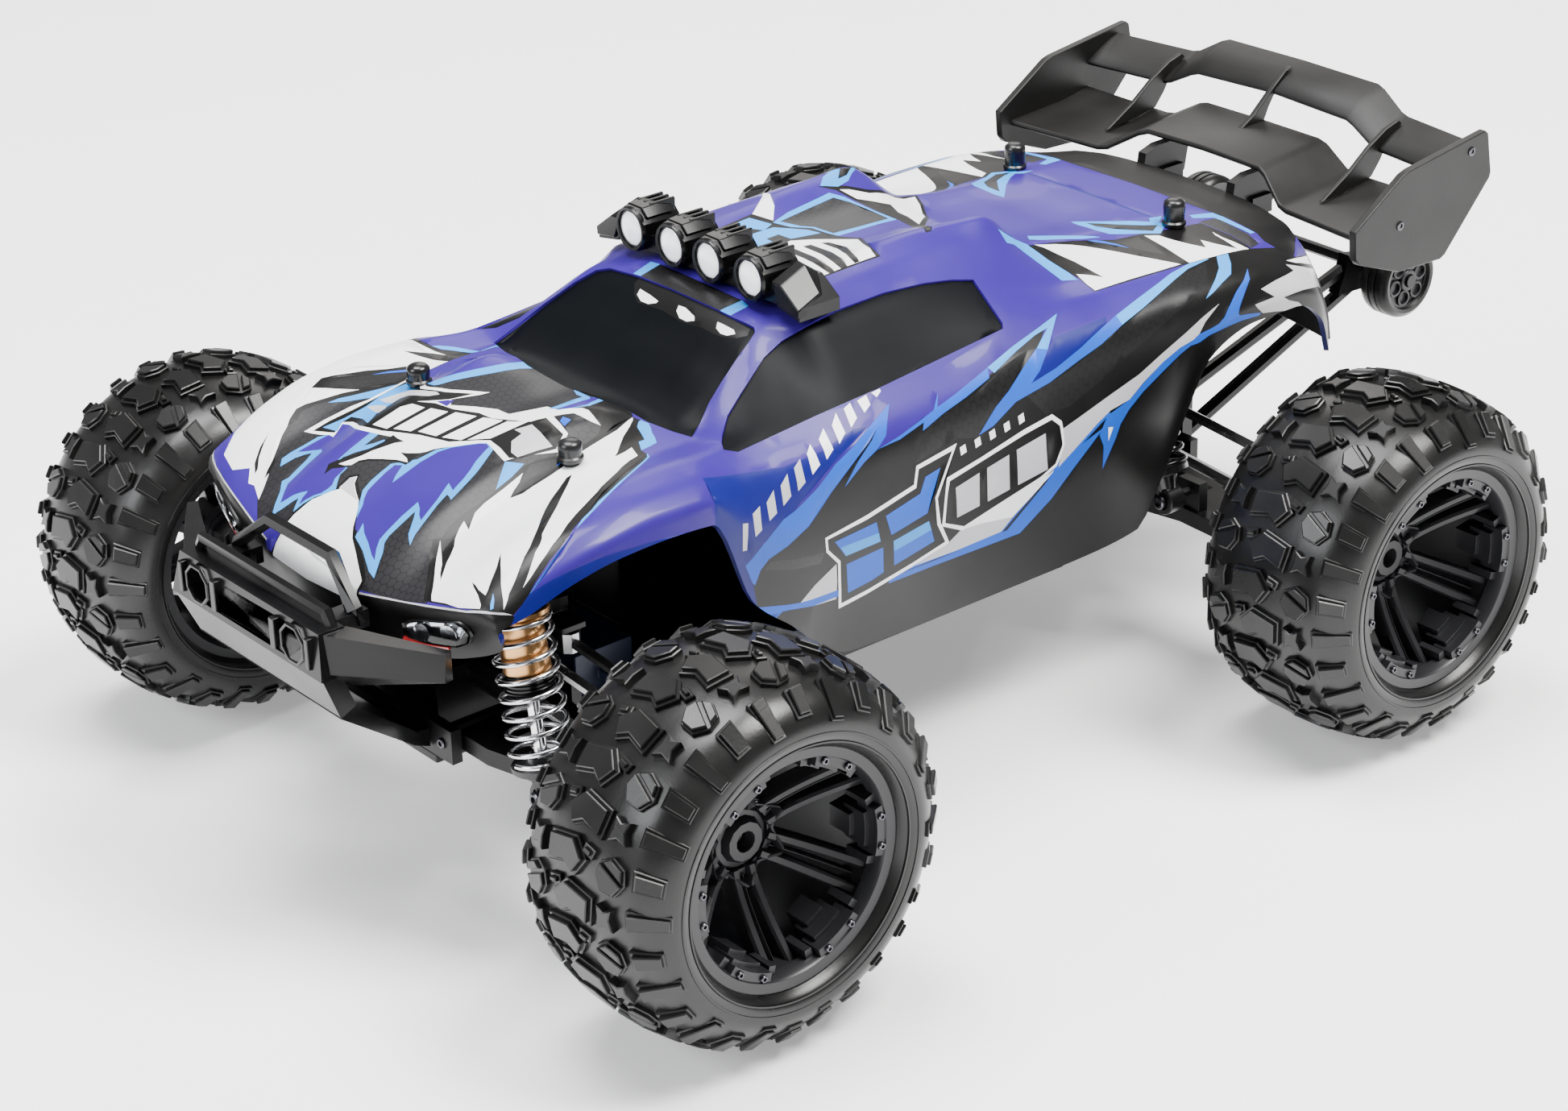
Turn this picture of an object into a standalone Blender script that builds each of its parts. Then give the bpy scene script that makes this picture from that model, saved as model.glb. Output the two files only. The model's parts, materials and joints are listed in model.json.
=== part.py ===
"""Radio-controlled monster truck: ladder of tub, gearboxes, four-corner suspension, wheels, shell and wing.

The truck is laid out in millimetres about a datum on the ground, midway between the axles. The front
faces -Y and the truck's left is +X. make() turns the layout into metres and moves the datum so that the
origin lies under the middle of the whole truck.
"""

import math

import bmesh
import bpy
from mathutils import Matrix, Vector

MM = 0.001
DATUM_Y = -20.5  # from the origin to the middle of the wheelbase

# Wheels and tyres
AXLE_Y = 108.7
AXLE_Z = 48.0
WHEEL_X = 110.4
TYRE_RADIUS = 48.0
BEAD_RADIUS = 30.3
LUGS = 12
TYRE_DEPTH = 17.7  # from the bead to the tread, in the profile below
GROOVE = 2.2
RIM_RADIUS = 29.8
SPOKES = 6

# Suspension, in the XZ plane through the left axles
ARM_IN = (21.0, 43.0)
ARM_OUT = (80.0, 38.0)
LINK_IN = (14.0, 68.5)
LINK_OUT = (73.0, 63.5)
DOGBONE_IN = (28.0, 53.0)
DOGBONE_OUT = (87.0, 48.0)
TIE_IN = (28.0, 61.0)
TIE_OUT = (87.0, 56.0)
TIE_Y = 15.7  # behind the front axle
SHOCK_Y = -16.0  # ahead of either axle
SHOCKS = {"front": ((51.8, 96.0), (61.0, 43.5)), "rear": ((31.0, 91.0), (50.0, 48.0))}
ARM_PIN_RADIUS = 1.4
COIL_RADIUS = 7.0
COIL_WIRE = 0.8
COIL_SQUARE = 0.85  # half the side of the square wire, of COIL_WIRE
COIL_TURNS = 5
UPPER_SEAT = 8.8  # from the top pivot to the coil, along the shock
LOWER_SEAT = 9.0  # from the coil seat to the lower eye

# Body mounting posts and shell
FRONT_POST = (31.7, -92.3, 113.2)
REAR_POST = (31.3, 111.3, 118.1)
POST_RADIUS = 2.4
SHELL_WALL = 1.5
SHELL_HALF_WIDTH = 66
POST_GAP = 1.0  # between a post and the rim of its hole in the shell
ROUND = 12  # sides of a round piece

MATERIALS = {
    "tyre_rubber": ((0.018, 0.018, 0.019), 0.72, 0.0),
    "rim_plastic": ((0.045, 0.045, 0.048), 0.42, 0.0),
    "black_plastic": ((0.012, 0.012, 0.013), 0.35, 0.0),
    "gloss_black": ((0.008, 0.008, 0.009), 0.12, 0.0),
    "purple_paint": ((0.075, 0.03, 0.40), 0.14, 0.0),
    "gold_metal": ((0.62, 0.36, 0.16), 0.28, 1.0),
    "chrome": ((0.78, 0.78, 0.80), 0.12, 1.0),
    "steel": ((0.46, 0.46, 0.47), 0.30, 1.0),
    "servo_blue": ((0.02, 0.03, 0.07), 0.45, 0.0),
}


def clear_scene():
    for obj in list(bpy.data.objects):
        bpy.data.objects.remove(obj, do_unlink=True)


def material(name):
    if name in bpy.data.materials:
        return bpy.data.materials[name]
    colour, roughness, metallic = MATERIALS[name]
    made = bpy.data.materials.new(name)
    made.use_nodes = True
    shader = made.node_tree.nodes["Principled BSDF"]
    shader.inputs["Base Color"].default_value = (*colour, 1.0)
    shader.inputs["Roughness"].default_value = roughness
    shader.inputs["Metallic"].default_value = metallic
    made.diffuse_color = (*colour, 1.0)
    return made


# Shapes: each returns (points, faces) in millimetres


def loft(rings, closed=False):
    """Rings of equally many points joined one to the next: capped, or closed on itself."""
    count = len(rings[0])
    points = [Vector(point) for ring in rings for point in ring]
    faces = []
    for i in range(len(rings) if closed else len(rings) - 1):
        here = i * count
        there = (i + 1) % len(rings) * count
        for j in range(count):
            k = (j + 1) % count
            faces.append((here + j, here + k, there + k, there + j))
    if not closed:
        faces.append(tuple(reversed(range(count))))
        faces.append(tuple(range(len(points) - count, len(points))))
    return points, faces


def block(x, y, z):
    corners = [(x[0], y[0]), (x[1], y[0]), (x[1], y[1]), (x[0], y[1])]
    return loft([[(a, b, height) for a, b in corners] for height in z])


def circle(centre, axis, radius, sides=ROUND, phase=0.0):
    turn = Vector(axis).to_track_quat("Z", "Y").to_matrix()
    angles = [2 * math.pi * (i + phase) / sides for i in range(sides)]
    return [Vector(centre) + turn @ Vector((radius * math.cos(a), radius * math.sin(a), 0)) for a in angles]


def turned(start, axis, profile, sides=ROUND, closed=False, phase=0.5):
    """A turned shape: profile lists (distance from start along axis, radius)."""
    along = Vector(axis).normalized()
    rings = [circle(Vector(start) + along * d, along, r, sides, phase) for d, r in profile]
    return loft(rings, closed)


def rod(start, end, radius, sides=ROUND):
    axis = Vector(end) - Vector(start)
    return turned(start, axis, [(0, radius), (axis.length, radius)], sides)


def plate(outline, axis, low, high):
    """An outline in the plane across axis, pushed from low to high along it."""
    places = {
        "x": lambda a, b, c: (c, a, b),
        "y": lambda a, b, c: (a, c, b),
        "z": lambda a, b, c: (a, b, c),
    }[axis]
    return loft([[places(a, b, c) for a, b in outline] for c in (low, high)])


def bar(path, radius, sides=6):
    """A round bar along a bent path, mitred at the bends."""
    path = [Vector(point) for point in path]
    rings = []
    for i, point in enumerate(path):
        before = (point - path[i - 1]).normalized() if i else (path[1] - point).normalized()
        after = (path[i + 1] - point).normalized() if i + 1 < len(path) else before
        across = (before + after).normalized()
        side = across.cross(Vector((0, 0.3, 1))).normalized()
        stretch = 1 / max(0.5, across.dot(after))
        up = side.cross(across) * stretch
        angles = [2 * math.pi * (j + 0.5) / sides for j in range(sides)]
        rings.append([point + radius * (side * math.cos(a) + up * math.sin(a)) for a in angles])
    return loft(rings)


def flipped(piece, side):
    """The same piece on the truck's left (side 1) or right (side -1)."""
    points, faces = piece
    return [Vector((side * p.x, p.y, p.z)) for p in points], faces


# Objects


def raw_object(name, piece):
    points, faces = piece
    form = bmesh.new()
    corners = [form.verts.new(point) for point in points]
    for face in faces:
        form.faces.new([corners[i] for i in face])
    bmesh.ops.recalc_face_normals(form, faces=form.faces)
    mesh = bpy.data.meshes.new(name)
    form.to_mesh(mesh)
    form.free()
    obj = bpy.data.objects.new(name, mesh)
    bpy.context.scene.collection.objects.link(obj)
    return obj


def make(name, look, add, cut=(), axis_at=(0, 0, 0)):
    """Unites the pieces in add, takes away those in cut, and places the object's origin at axis_at."""
    obj = raw_object(name, add[0])
    helpers = []
    for operation, pieces in (("UNION", add[1:]), ("DIFFERENCE", cut)):
        for piece in pieces:
            helper = raw_object(f"{name}_helper", piece)
            modifier = obj.modifiers.new(operation.lower(), "BOOLEAN")
            modifier.operation = operation
            modifier.object = helper
            helpers.append(helper)
    bpy.context.view_layer.update()
    graph = bpy.context.evaluated_depsgraph_get()
    mesh = bpy.data.meshes.new_from_object(obj.evaluated_get(graph))
    obj.modifiers.clear()
    obj.data = mesh
    for helper in helpers:
        bpy.data.objects.remove(helper, do_unlink=True)
    mesh.transform(Matrix.Scale(MM, 4) @ Matrix.Translation(-Vector(axis_at)))
    obj.location = (Vector(axis_at) + Vector((0, DATUM_Y, 0))) * MM
    mesh.materials.clear()
    mesh.materials.append(material(look))
    mesh.shade_smooth()
    mesh.set_sharp_from_angle(angle=math.radians(35))
    return obj


# The four corners. "at" is the axle's y, and side is 1 on the left and -1 on the right.


def tyre(tag, side, at):
    outer = [(-22, 0), (-26.7, 8), (-24, 15.8), (-15, TYRE_DEPTH)]
    outer += [(-x, r) for x, r in reversed(outer)]
    inner = [(19.3, 0), (23, 11), (-23, 11), (-19.3, 0)]
    steps = 3 * LUGS
    flat = TYRE_RADIUS / math.cos(math.pi / steps)
    scale = (flat - BEAD_RADIUS) / TYRE_DEPTH
    rings = []
    for x, r in outer + inner:
        ring = []
        for i in range(steps):
            groove = GROOVE if i % 3 == 2 and (x, r) in outer and r > TYRE_DEPTH - 2 else 0.0
            radius = BEAD_RADIUS + r * scale - groove
            angle = 2 * math.pi * (i + 0.5) / steps - math.pi / 2 - 2 * math.pi / steps
            ring.append((x, radius * math.cos(angle), radius * math.sin(angle)))
        rings.append([(side * (WHEEL_X + x), at + b, AXLE_Z + c) for x, b, c in ring])
    make(f"tyre_{tag}", "tyre_rubber", [loft(rings, closed=True)], axis_at=(side * WHEEL_X, at, AXLE_Z))


def rim(tag, side, at):
    axis = (side, 0, 0)
    centre = Vector((side * WHEEL_X, at, AXLE_Z))
    barrel = [(-21, RIM_RADIUS), (21.2, RIM_RADIUS), (21.2, 25.6), (17.5, 25.6), (15.5, 27.4), (-21, 27.4)]
    pieces = [turned(centre, axis, barrel, 20, closed=True)]
    hub = [(-6.4, 2.5), (-6.4, 8), (0, 8), (4, 4.9), (4, 2.5)]
    pieces.append(turned(centre, axis, hub, 8, closed=True))
    for i in range(SPOKES):
        angle = 2 * math.pi * (i + 0.5) / SPOKES
        out = Vector((0, math.cos(angle), math.sin(angle)))
        across = Vector((0, -math.sin(angle), math.cos(angle)))
        rings = []
        for reach, half, low, high in ((6, 2.4, -4, 1), (28.4, 4.2, 1, 10)):
            edges = ((-half, low), (half, low), (half, high), (-half, high))
            rings.append([centre + out * reach + across * w + Vector((side * d, 0, 0)) for w, d in edges])
        pieces.append(loft(rings))
    make(f"rim_{tag}", "rim_plastic", pieces, axis_at=centre)


def wheel_axle(tag, side, at):
    centre = Vector((0, at, AXLE_Z))
    shape = [(90.2, 3.4), (84.4, 3.6), (84.4, 5), (91.4, 5), (91.4, 2.3), (98.6, 2.3), (98.6, 6.2)]
    shape += [(103.6, 6.2), (103.6, 2.1), (110.5, 2.1)]
    piece = turned(centre, (side, 0, 0), shape, 10)
    make(f"axle_{tag}", "steel", [piece], axis_at=centre + Vector((side * DOGBONE_OUT[0], 0, 0)))


def upright(tag, side, at, front):
    """The hub carrier on the arm's end: a C that holds the steered knuckle, or a rear bearing block."""
    x, z = ARM_OUT
    add = [rod((x, at - 6.4, z), (x, at + 6.4, z), 3.3, 8)]
    if front:
        add.append(block((76, 80), (at - 6.4, at + 6.4), (z, 60.5)))
        add.append(block((79, 91), (at - 6, at + 6), (35.2, 38.7)))
        add.append(block((76, 91), (at - 6, at + 6), (57.3, 60.5)))
        cut = [rod((70, at, AXLE_Z), (82, at, AXLE_Z), 5.0, 10)]
    else:
        add.append(block((77, 92.6), (at - 7.2, at + 7.2), (42.2, 58)))
        add.append(block((77, 84), (at - 6.4, at + 6.4), (z - 1, 43)))
        add.append(rod((92, at, AXLE_Z), (97.8, at, AXLE_Z), 6.0, 10))
        cut = [rod((70, at, AXLE_Z), (91.8, at, AXLE_Z), 5.6, 10)]
        cut.append(rod((89, at, AXLE_Z), (99, at, AXLE_Z), 2.7, 10))
    add.append(block((71.2, 79), (at - 6.4, at - 3.4), (57, 66.5)))
    add.append(rod((LINK_OUT[0], at - 4, LINK_OUT[1]), (LINK_OUT[0], at + 2.4, LINK_OUT[1]), 1.3, 6))
    name = "c_hub" if front else "hub_carrier"
    add = [flipped(piece, side) for piece in add]
    cut = [flipped(piece, side) for piece in cut]
    make(f"{name}_{tag}", "black_plastic", add, cut, axis_at=(side * x, at, z))


def knuckle(tag, side, at):
    add = [block((83.2, 93), (at - 7.2, at + 7.2), (41.8, 56.9))]
    add.append(rod((DOGBONE_OUT[0], at, 39.1), (DOGBONE_OUT[0], at, 43), 3.0, 8))
    add.append(rod((92, at, AXLE_Z), (97.8, at, AXLE_Z), 6.0, 10))
    add.append(block((84.5, 89.5), (at + 6, at + TIE_Y + 2.6), (49.5, 52.6)))
    cut = [rod((80, at, AXLE_Z), (91.8, at, AXLE_Z), 5.6, 10)]
    cut.append(rod((89, at, AXLE_Z), (99, at, AXLE_Z), 2.7, 10))
    add = [flipped(piece, side) for piece in add]
    cut = [flipped(piece, side) for piece in cut]
    make(f"knuckle_{tag}", "black_plastic", add, cut, axis_at=(side * DOGBONE_OUT[0], at, AXLE_Z))


def arm(tag, side, at, end):
    """Lower arm: hinge barrel, tapering plate, fork for the upright and a pin for the shock's lower eye."""
    (x0, z0), (x1, z1) = ARM_IN, ARM_OUT
    slope = (z1 - z0) / (x1 - x0)
    rings = []
    for x, half in ((22, 15.5), (34, 14.5), (48, 9.5), (66, 8.2), (72, 10.8), (74, 10.8)):
        z = z0 + slope * (x - x0)
        edges = ((-half, -2.3), (half, -2.3), (half, 2.3), (-half, 2.3))
        rings.append([(x, at + w, z + h) for w, h in edges])
    add = [loft(rings), rod((x0, at - 16.2, z0), (x0, at + 16.2, z0), 3.2, 8)]
    for low in (-10.8, 7.0):
        add.append(rod((x1, at + low, z1), (x1, at + low + 3.8, z1), 3.4, 8))
        add.append(block((72.5, x1), (at + low, at + low + 3.8), (z1 - 3, z1 + 2.6)))
    eye_x, eye_z = SHOCKS[end][1]
    pin_start = (eye_x, at - 7.4, eye_z)
    add.append(rod(pin_start, (eye_x, at + SHOCK_Y - 3.4, eye_z), ARM_PIN_RADIUS, 6))
    add.append(block((eye_x - 4, eye_x + 4), (at - 8.2, at - 5), (39.5, eye_z + 3)))
    hole = block((34, 46), (at - 5.5, at + 5.5), (30, 52))
    add = [flipped(piece, side) for piece in add]
    make(f"arm_{tag}", "black_plastic", add, [flipped(hole, side)], axis_at=(side * x0, at, z0))


def camber_link(tag, side, at):
    (x0, z0), (x1, z1) = LINK_IN, LINK_OUT
    y = at - 0.6
    add = [rod((x0, y, z0), (x1, y, z1), 1.5, 6)]
    cut = []
    for x, z in (LINK_IN, LINK_OUT):
        add.append(rod((x, y - 2.2, z), (x, y + 2.2, z), 3.2, 8))
        cut.append(rod((x, y - 4, z), (x, y + 4, z), 1.7, 6))
    add = [flipped(piece, side) for piece in add]
    cut = [flipped(piece, side) for piece in cut]
    make(f"camber_link_{tag}", "steel", add, cut, axis_at=(side * x0, at, z0))


def dogbone(tag, side, at):
    (x0, z0), (x1, z1) = DOGBONE_IN, DOGBONE_OUT
    start = Vector((side * x0, at, z0))
    along = Vector((side * (x1 - x0), 0, z1 - z0))
    reach = along.length
    shape = [(-2.6, 1.0), (-1.2, 2.5), (1.2, 2.5), (2.3, 1.7)]
    shape += [(reach - d, r) for d, r in reversed(shape)]
    make(f"dogbone_{tag}", "steel", [turned(start, along, shape, 8)], axis_at=start)


def shock(tag, side, at, end):
    """A coil-over shock: body on the tower, shaft and lower eye on the arm, and the spring between seats."""
    (x0, z0), (x1, z1) = SHOCKS[end]
    y = at + SHOCK_Y
    top = Vector((side * x0, y, z0))
    down = Vector((side * (x1 - x0), 0, z1 - z0))
    reach = down.length
    down.normalize()
    body = [(3, 4.5), (6, 7.6), (7.6, 7.6), (7.6, 5.6), (26, 5.9)]
    add = [turned(top, down, body)]
    add.append(rod(top - Vector((0, 2.8, 0)), top + Vector((0, 2.8, 0)), 3.5, 8))
    cut = [rod(top - Vector((0, 5, 0)), top + Vector((0, 5, 0)), 1.8, 6)]
    cut.append(rod(top + down * 6.5, top + down * 30, 2.1, 6))
    make(f"shock_body_{tag}", "gold_metal", add, cut, axis_at=top)

    eye = top + down * reach
    seat = reach - LOWER_SEAT
    shaft = [(15.4, 1.6), (seat, 1.6), (seat, 7.6), (seat + 2, 7.6), (reach - 2, 3.0)]
    add = [turned(top, down, shaft, 10), rod(eye - Vector((0, 2.8, 0)), eye + Vector((0, 2.8, 0)), 3.9, 8)]
    cut = [rod(eye - Vector((0, 5, 0)), eye + Vector((0, 5, 0)), 2.4, 6)]
    make(f"shock_shaft_{tag}", "chrome", add, cut, axis_at=top)

    first = top + down * UPPER_SEAT
    length = seat - UPPER_SEAT - 2 * COIL_WIRE
    turn = down.to_track_quat("Z", "Y").to_matrix()
    steps = 8 * COIL_TURNS
    rings = []
    for i in range(steps + 1):
        share = i / steps
        angle = 2 * math.pi * COIL_TURNS * share
        middle = first + down * (length * share)
        out = turn @ Vector((math.cos(angle), math.sin(angle), 0))
        edges = ((-1, -1), (1, -1), (1, 1), (-1, 1))
        size = COIL_WIRE * COIL_SQUARE
        rings.append([middle + out * (COIL_RADIUS + a * size) + down * (b * size) for a, b in edges])
    make(f"spring_{tag}", "chrome", [loft(rings)], axis_at=top)


# The steering


def steering():
    y = -AXLE_Y + TIE_Y
    for tag, side in (("fl", 1), ("fr", -1)):
        (x0, z0), (x1, z1) = TIE_IN, TIE_OUT
        add = [rod((x0, y, z0), (x1, y, z1), 1.4, 6)]
        for x, z in (TIE_IN, TIE_OUT):
            add.append(rod((x, y, z - 2.6), (x, y, z + 2.6), 2.9, 8))
        add = [flipped(piece, side) for piece in add]
        make(f"tie_rod_{tag}", "steel", add, axis_at=(side * x0, y, z0))
    link = [block((-24.4, 24.4), (y - 3, y + 3), (59.4, 62.2))]
    link += [block((side * 27 - 3.5, side * 27 + 3.5), (y - 3.6, y + 3.6), (64.2, 66)) for side in (-1, 1)]
    link += [block(sorted((side * 22, side * 24.4)), (y - 3, y + 3), (60, 65.5)) for side in (-1, 1)]
    link += [block(sorted((side * 22, side * 28)), (y - 3, y + 3), (64.2, 66)) for side in (-1, 1)]
    make("steering_link", "black_plastic", link, axis_at=(0, y, 60.8))
    horn = [plate([(-2.4, y - 1), (2.4, y - 1), (4.5, -76), (-4.5, -76)], "z", 56.2, 58.8)]
    horn.append(rod((0, -77.5, 52.8), (0, -77.5, 58.8), 4.4, 12))
    make("servo_horn", "black_plastic", horn, axis_at=(0, -77.5, 56))
    case = [block((-20, 20), (-86, -68), (38.4, 50.5)), block((-25, 25), (-79, -75), (42, 45))]
    case.append(rod((0, -77.5, 50), (0, -77.5, 52.5), 5.5, 12))
    make("steering_servo", "servo_blue", case)


# The middle of the truck


def gearbox(name, at, nose):
    """Housing with hinge-pin plates ahead of and behind the arms, and an output cup to either side."""
    add = [block((-13, 13), (at - 14, at + 14), (38.4, 56)), block((-9, 9), (at - 12, at + 12), (55, 61))]
    for low in (-19.6, 16.6):
        add.append(block((-26.5, 26.5), (at + low, at + low + 3), (38.4, 47.5)))
        add.append(block((-11, 11), (at + min(low, 12), at + max(low + 3, -12)), (38.4, 46)))
    add.append(rod((0, at, 50), (0, at + nose * 21, 50), 5.5, 12))
    cut = []
    for side in (-1, 1):
        cup_z = DOGBONE_IN[1]
        add.append(rod((side * 12, at, cup_z), (side * 31, at, cup_z), 5.0, 10))
        cut.append(rod((side * 24.2, at, cup_z), (side * 33, at, cup_z), 3.7, 10))
    make(name, "black_plastic", add, cut, axis_at=(0, at, AXLE_Z))


def chassis():
    outline = [(19, -128), (19, -91), (43, -66), (43, 60), (19, 90), (19, 128)]
    outline += [(-x, y) for x, y in reversed(outline)]
    add = [plate(outline, "z", 35.6, 38)]
    for side in (-1, 1):
        wall = sorted((side * 40.6, side * 43))
        add.append(block(wall, (-64, 58), (36, 49)))
    add.append(block((-36, -6), (-52, 40), (37, 57)))
    add.append(block((-40.8, 40.8), (-2, 1), (37, 44)))
    make("chassis", "black_plastic", add)


def motor():
    can = turned((6, 68, 52), (1, 0, 0), [(0, 11), (2, 12.4), (27, 12.4), (29, 9), (29, 3.5), (32, 3.5)], 14)
    pinion = rod((2.5, 68, 52), (7, 68, 52), 2.2, 10)
    make("motor", "steel", [can, pinion], axis_at=(0, 68, 52))


def tower(name, at, outline, shelf, post, shock_top, extra=()):
    """Shock tower on the gearbox, with shock and link studs, and a shelf that carries two body posts."""
    outline = outline + [(-x, z) for x, z in reversed(outline)]
    add = [plate(outline, "y", at - 8.2, at - 5)]
    post_x, post_y, post_top = post
    add.append(block((-14, 14), (at - 6, at + 6), (61.3, 64)))
    add.append(block((-post_x - 4, post_x + 4), (at - 6, post_y + 4), shelf))
    for side in (-1, 1):
        x, z = shock_top
        add.append(rod((side * x, at - 6, z), (side * x, at + SHOCK_Y - 3.4, z), 1.4, 6))
        start = (side * LINK_IN[0], at - 6, LINK_IN[1])
        add.append(rod(start, (start[0], at + 2.4, start[2]), 1.3, 6))
        foot = (side * post_x, post_y, shelf[0] + 1)
        add.append(rod(foot, (side * post_x, post_y, post_top), POST_RADIUS, 8))
    make(name, "black_plastic", add + list(extra), axis_at=(0, at, 61))


def front_tower():
    outline = [(11, 61.3), (19, 66), (24, 80), (31, 90), (57, 92.6), (57, 98.6), (40, 99), (22, 94), (8, 90)]
    tower("front_tower", -AXLE_Y, outline, (82, 85), FRONT_POST, SHOCKS["front"][0])


def rear_tower():
    """The rear tower also carries the two struts that hold the wing."""
    outline = [(11, 61.3), (17, 66), (17, 78), (22, 87), (37, 88.4), (37, 96), (24, 98), (8, 94)]
    struts = []
    side_view = [(112, 80.5), (112, 84), (140, 98), (147, 110), (148, 116.5), (153, 118)]
    side_view += [(166, 118.2), (164, 108), (158, 104), (148, 92), (124, 80.5)]
    for side in (-1, 1):
        struts.append(plate(side_view, "x", side * 17.4 - 1.5, side * 17.4 + 1.5))
        struts.append(block((side * 17.4 - 3, side * 17.4 + 3), (154, 162), (105.5, 111)))
    struts.append(block((-17.4, 17.4), (142, 146), (99, 102)))
    tower("rear_tower", AXLE_Y, outline, (80.5, 83.5), REAR_POST, SHOCKS["rear"][0], struts)


def bumper():
    """Front bumper: pierced face, swept side wings, skid plate, crash loop and upper bar."""
    face = [(-33, -166.5, 77), (33, -166.5, 77), (30.5, -164.8, 88), (-30.5, -164.8, 88)]
    add = [loft([face, [(x, y + 7, z) for x, y, z in face]])]
    chin = [(-33, -166.3, 77.5), (33, -166.3, 77.5), (31, -161, 65), (-31, -161, 65)]
    add.append(loft([chin, [(x * 0.97, y + 5, z + 1.5) for x, y, z in chin]]))
    skid = [[(-31, -161.2, 65), (31, -161.2, 65), (30, -159, 68), (-30, -159, 68)]]
    skid.append([(-19, -134, 43), (19, -134, 43), (19, -133, 46.5), (-19, -133, 46.5)])
    skid.append([(-18, -128.8, 40.5), (18, -128.8, 40.5), (18, -128.8, 45.5), (-18, -128.8, 45.5)])
    add.append(loft(skid))
    for side in (-1, 1):
        root = [(30, -165.6, 78), (30, -164, 87.5), (30, -157, 87.5), (30, -157, 72)]
        tip = [(57, -148.5, 80), (56, -147.5, 86.5), (55, -145, 86.5), (55, -145, 79)]
        add.append(flipped(loft([root, tip]), side))
        add.append(block(sorted((side * 20, side * 26)), (-163, -148), (83, 87.5)))
    loop = [(-25, -150, 84.5), (-25, -151.5, 88), (-13.5, -149, 97), (13.5, -149, 97), (25, -151.5, 88)]
    loop.append((25, -150, 84.5))
    add.append(bar(loop, 1.9))
    add.append(bar([(-30, -160, 86), (-27, -160, 91), (27, -160, 91), (30, -160, 86)], 1.5))
    cut = [rod((side * 21, -170, 82.5), (side * 21, -150, 82.5), 4.4, 8) for side in (-1, 1)]
    cut.append(block((-9.5, 9.5), (-170, -163), (79.5, 86)))
    make("front_bumper", "gloss_black", add, cut)


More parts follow.
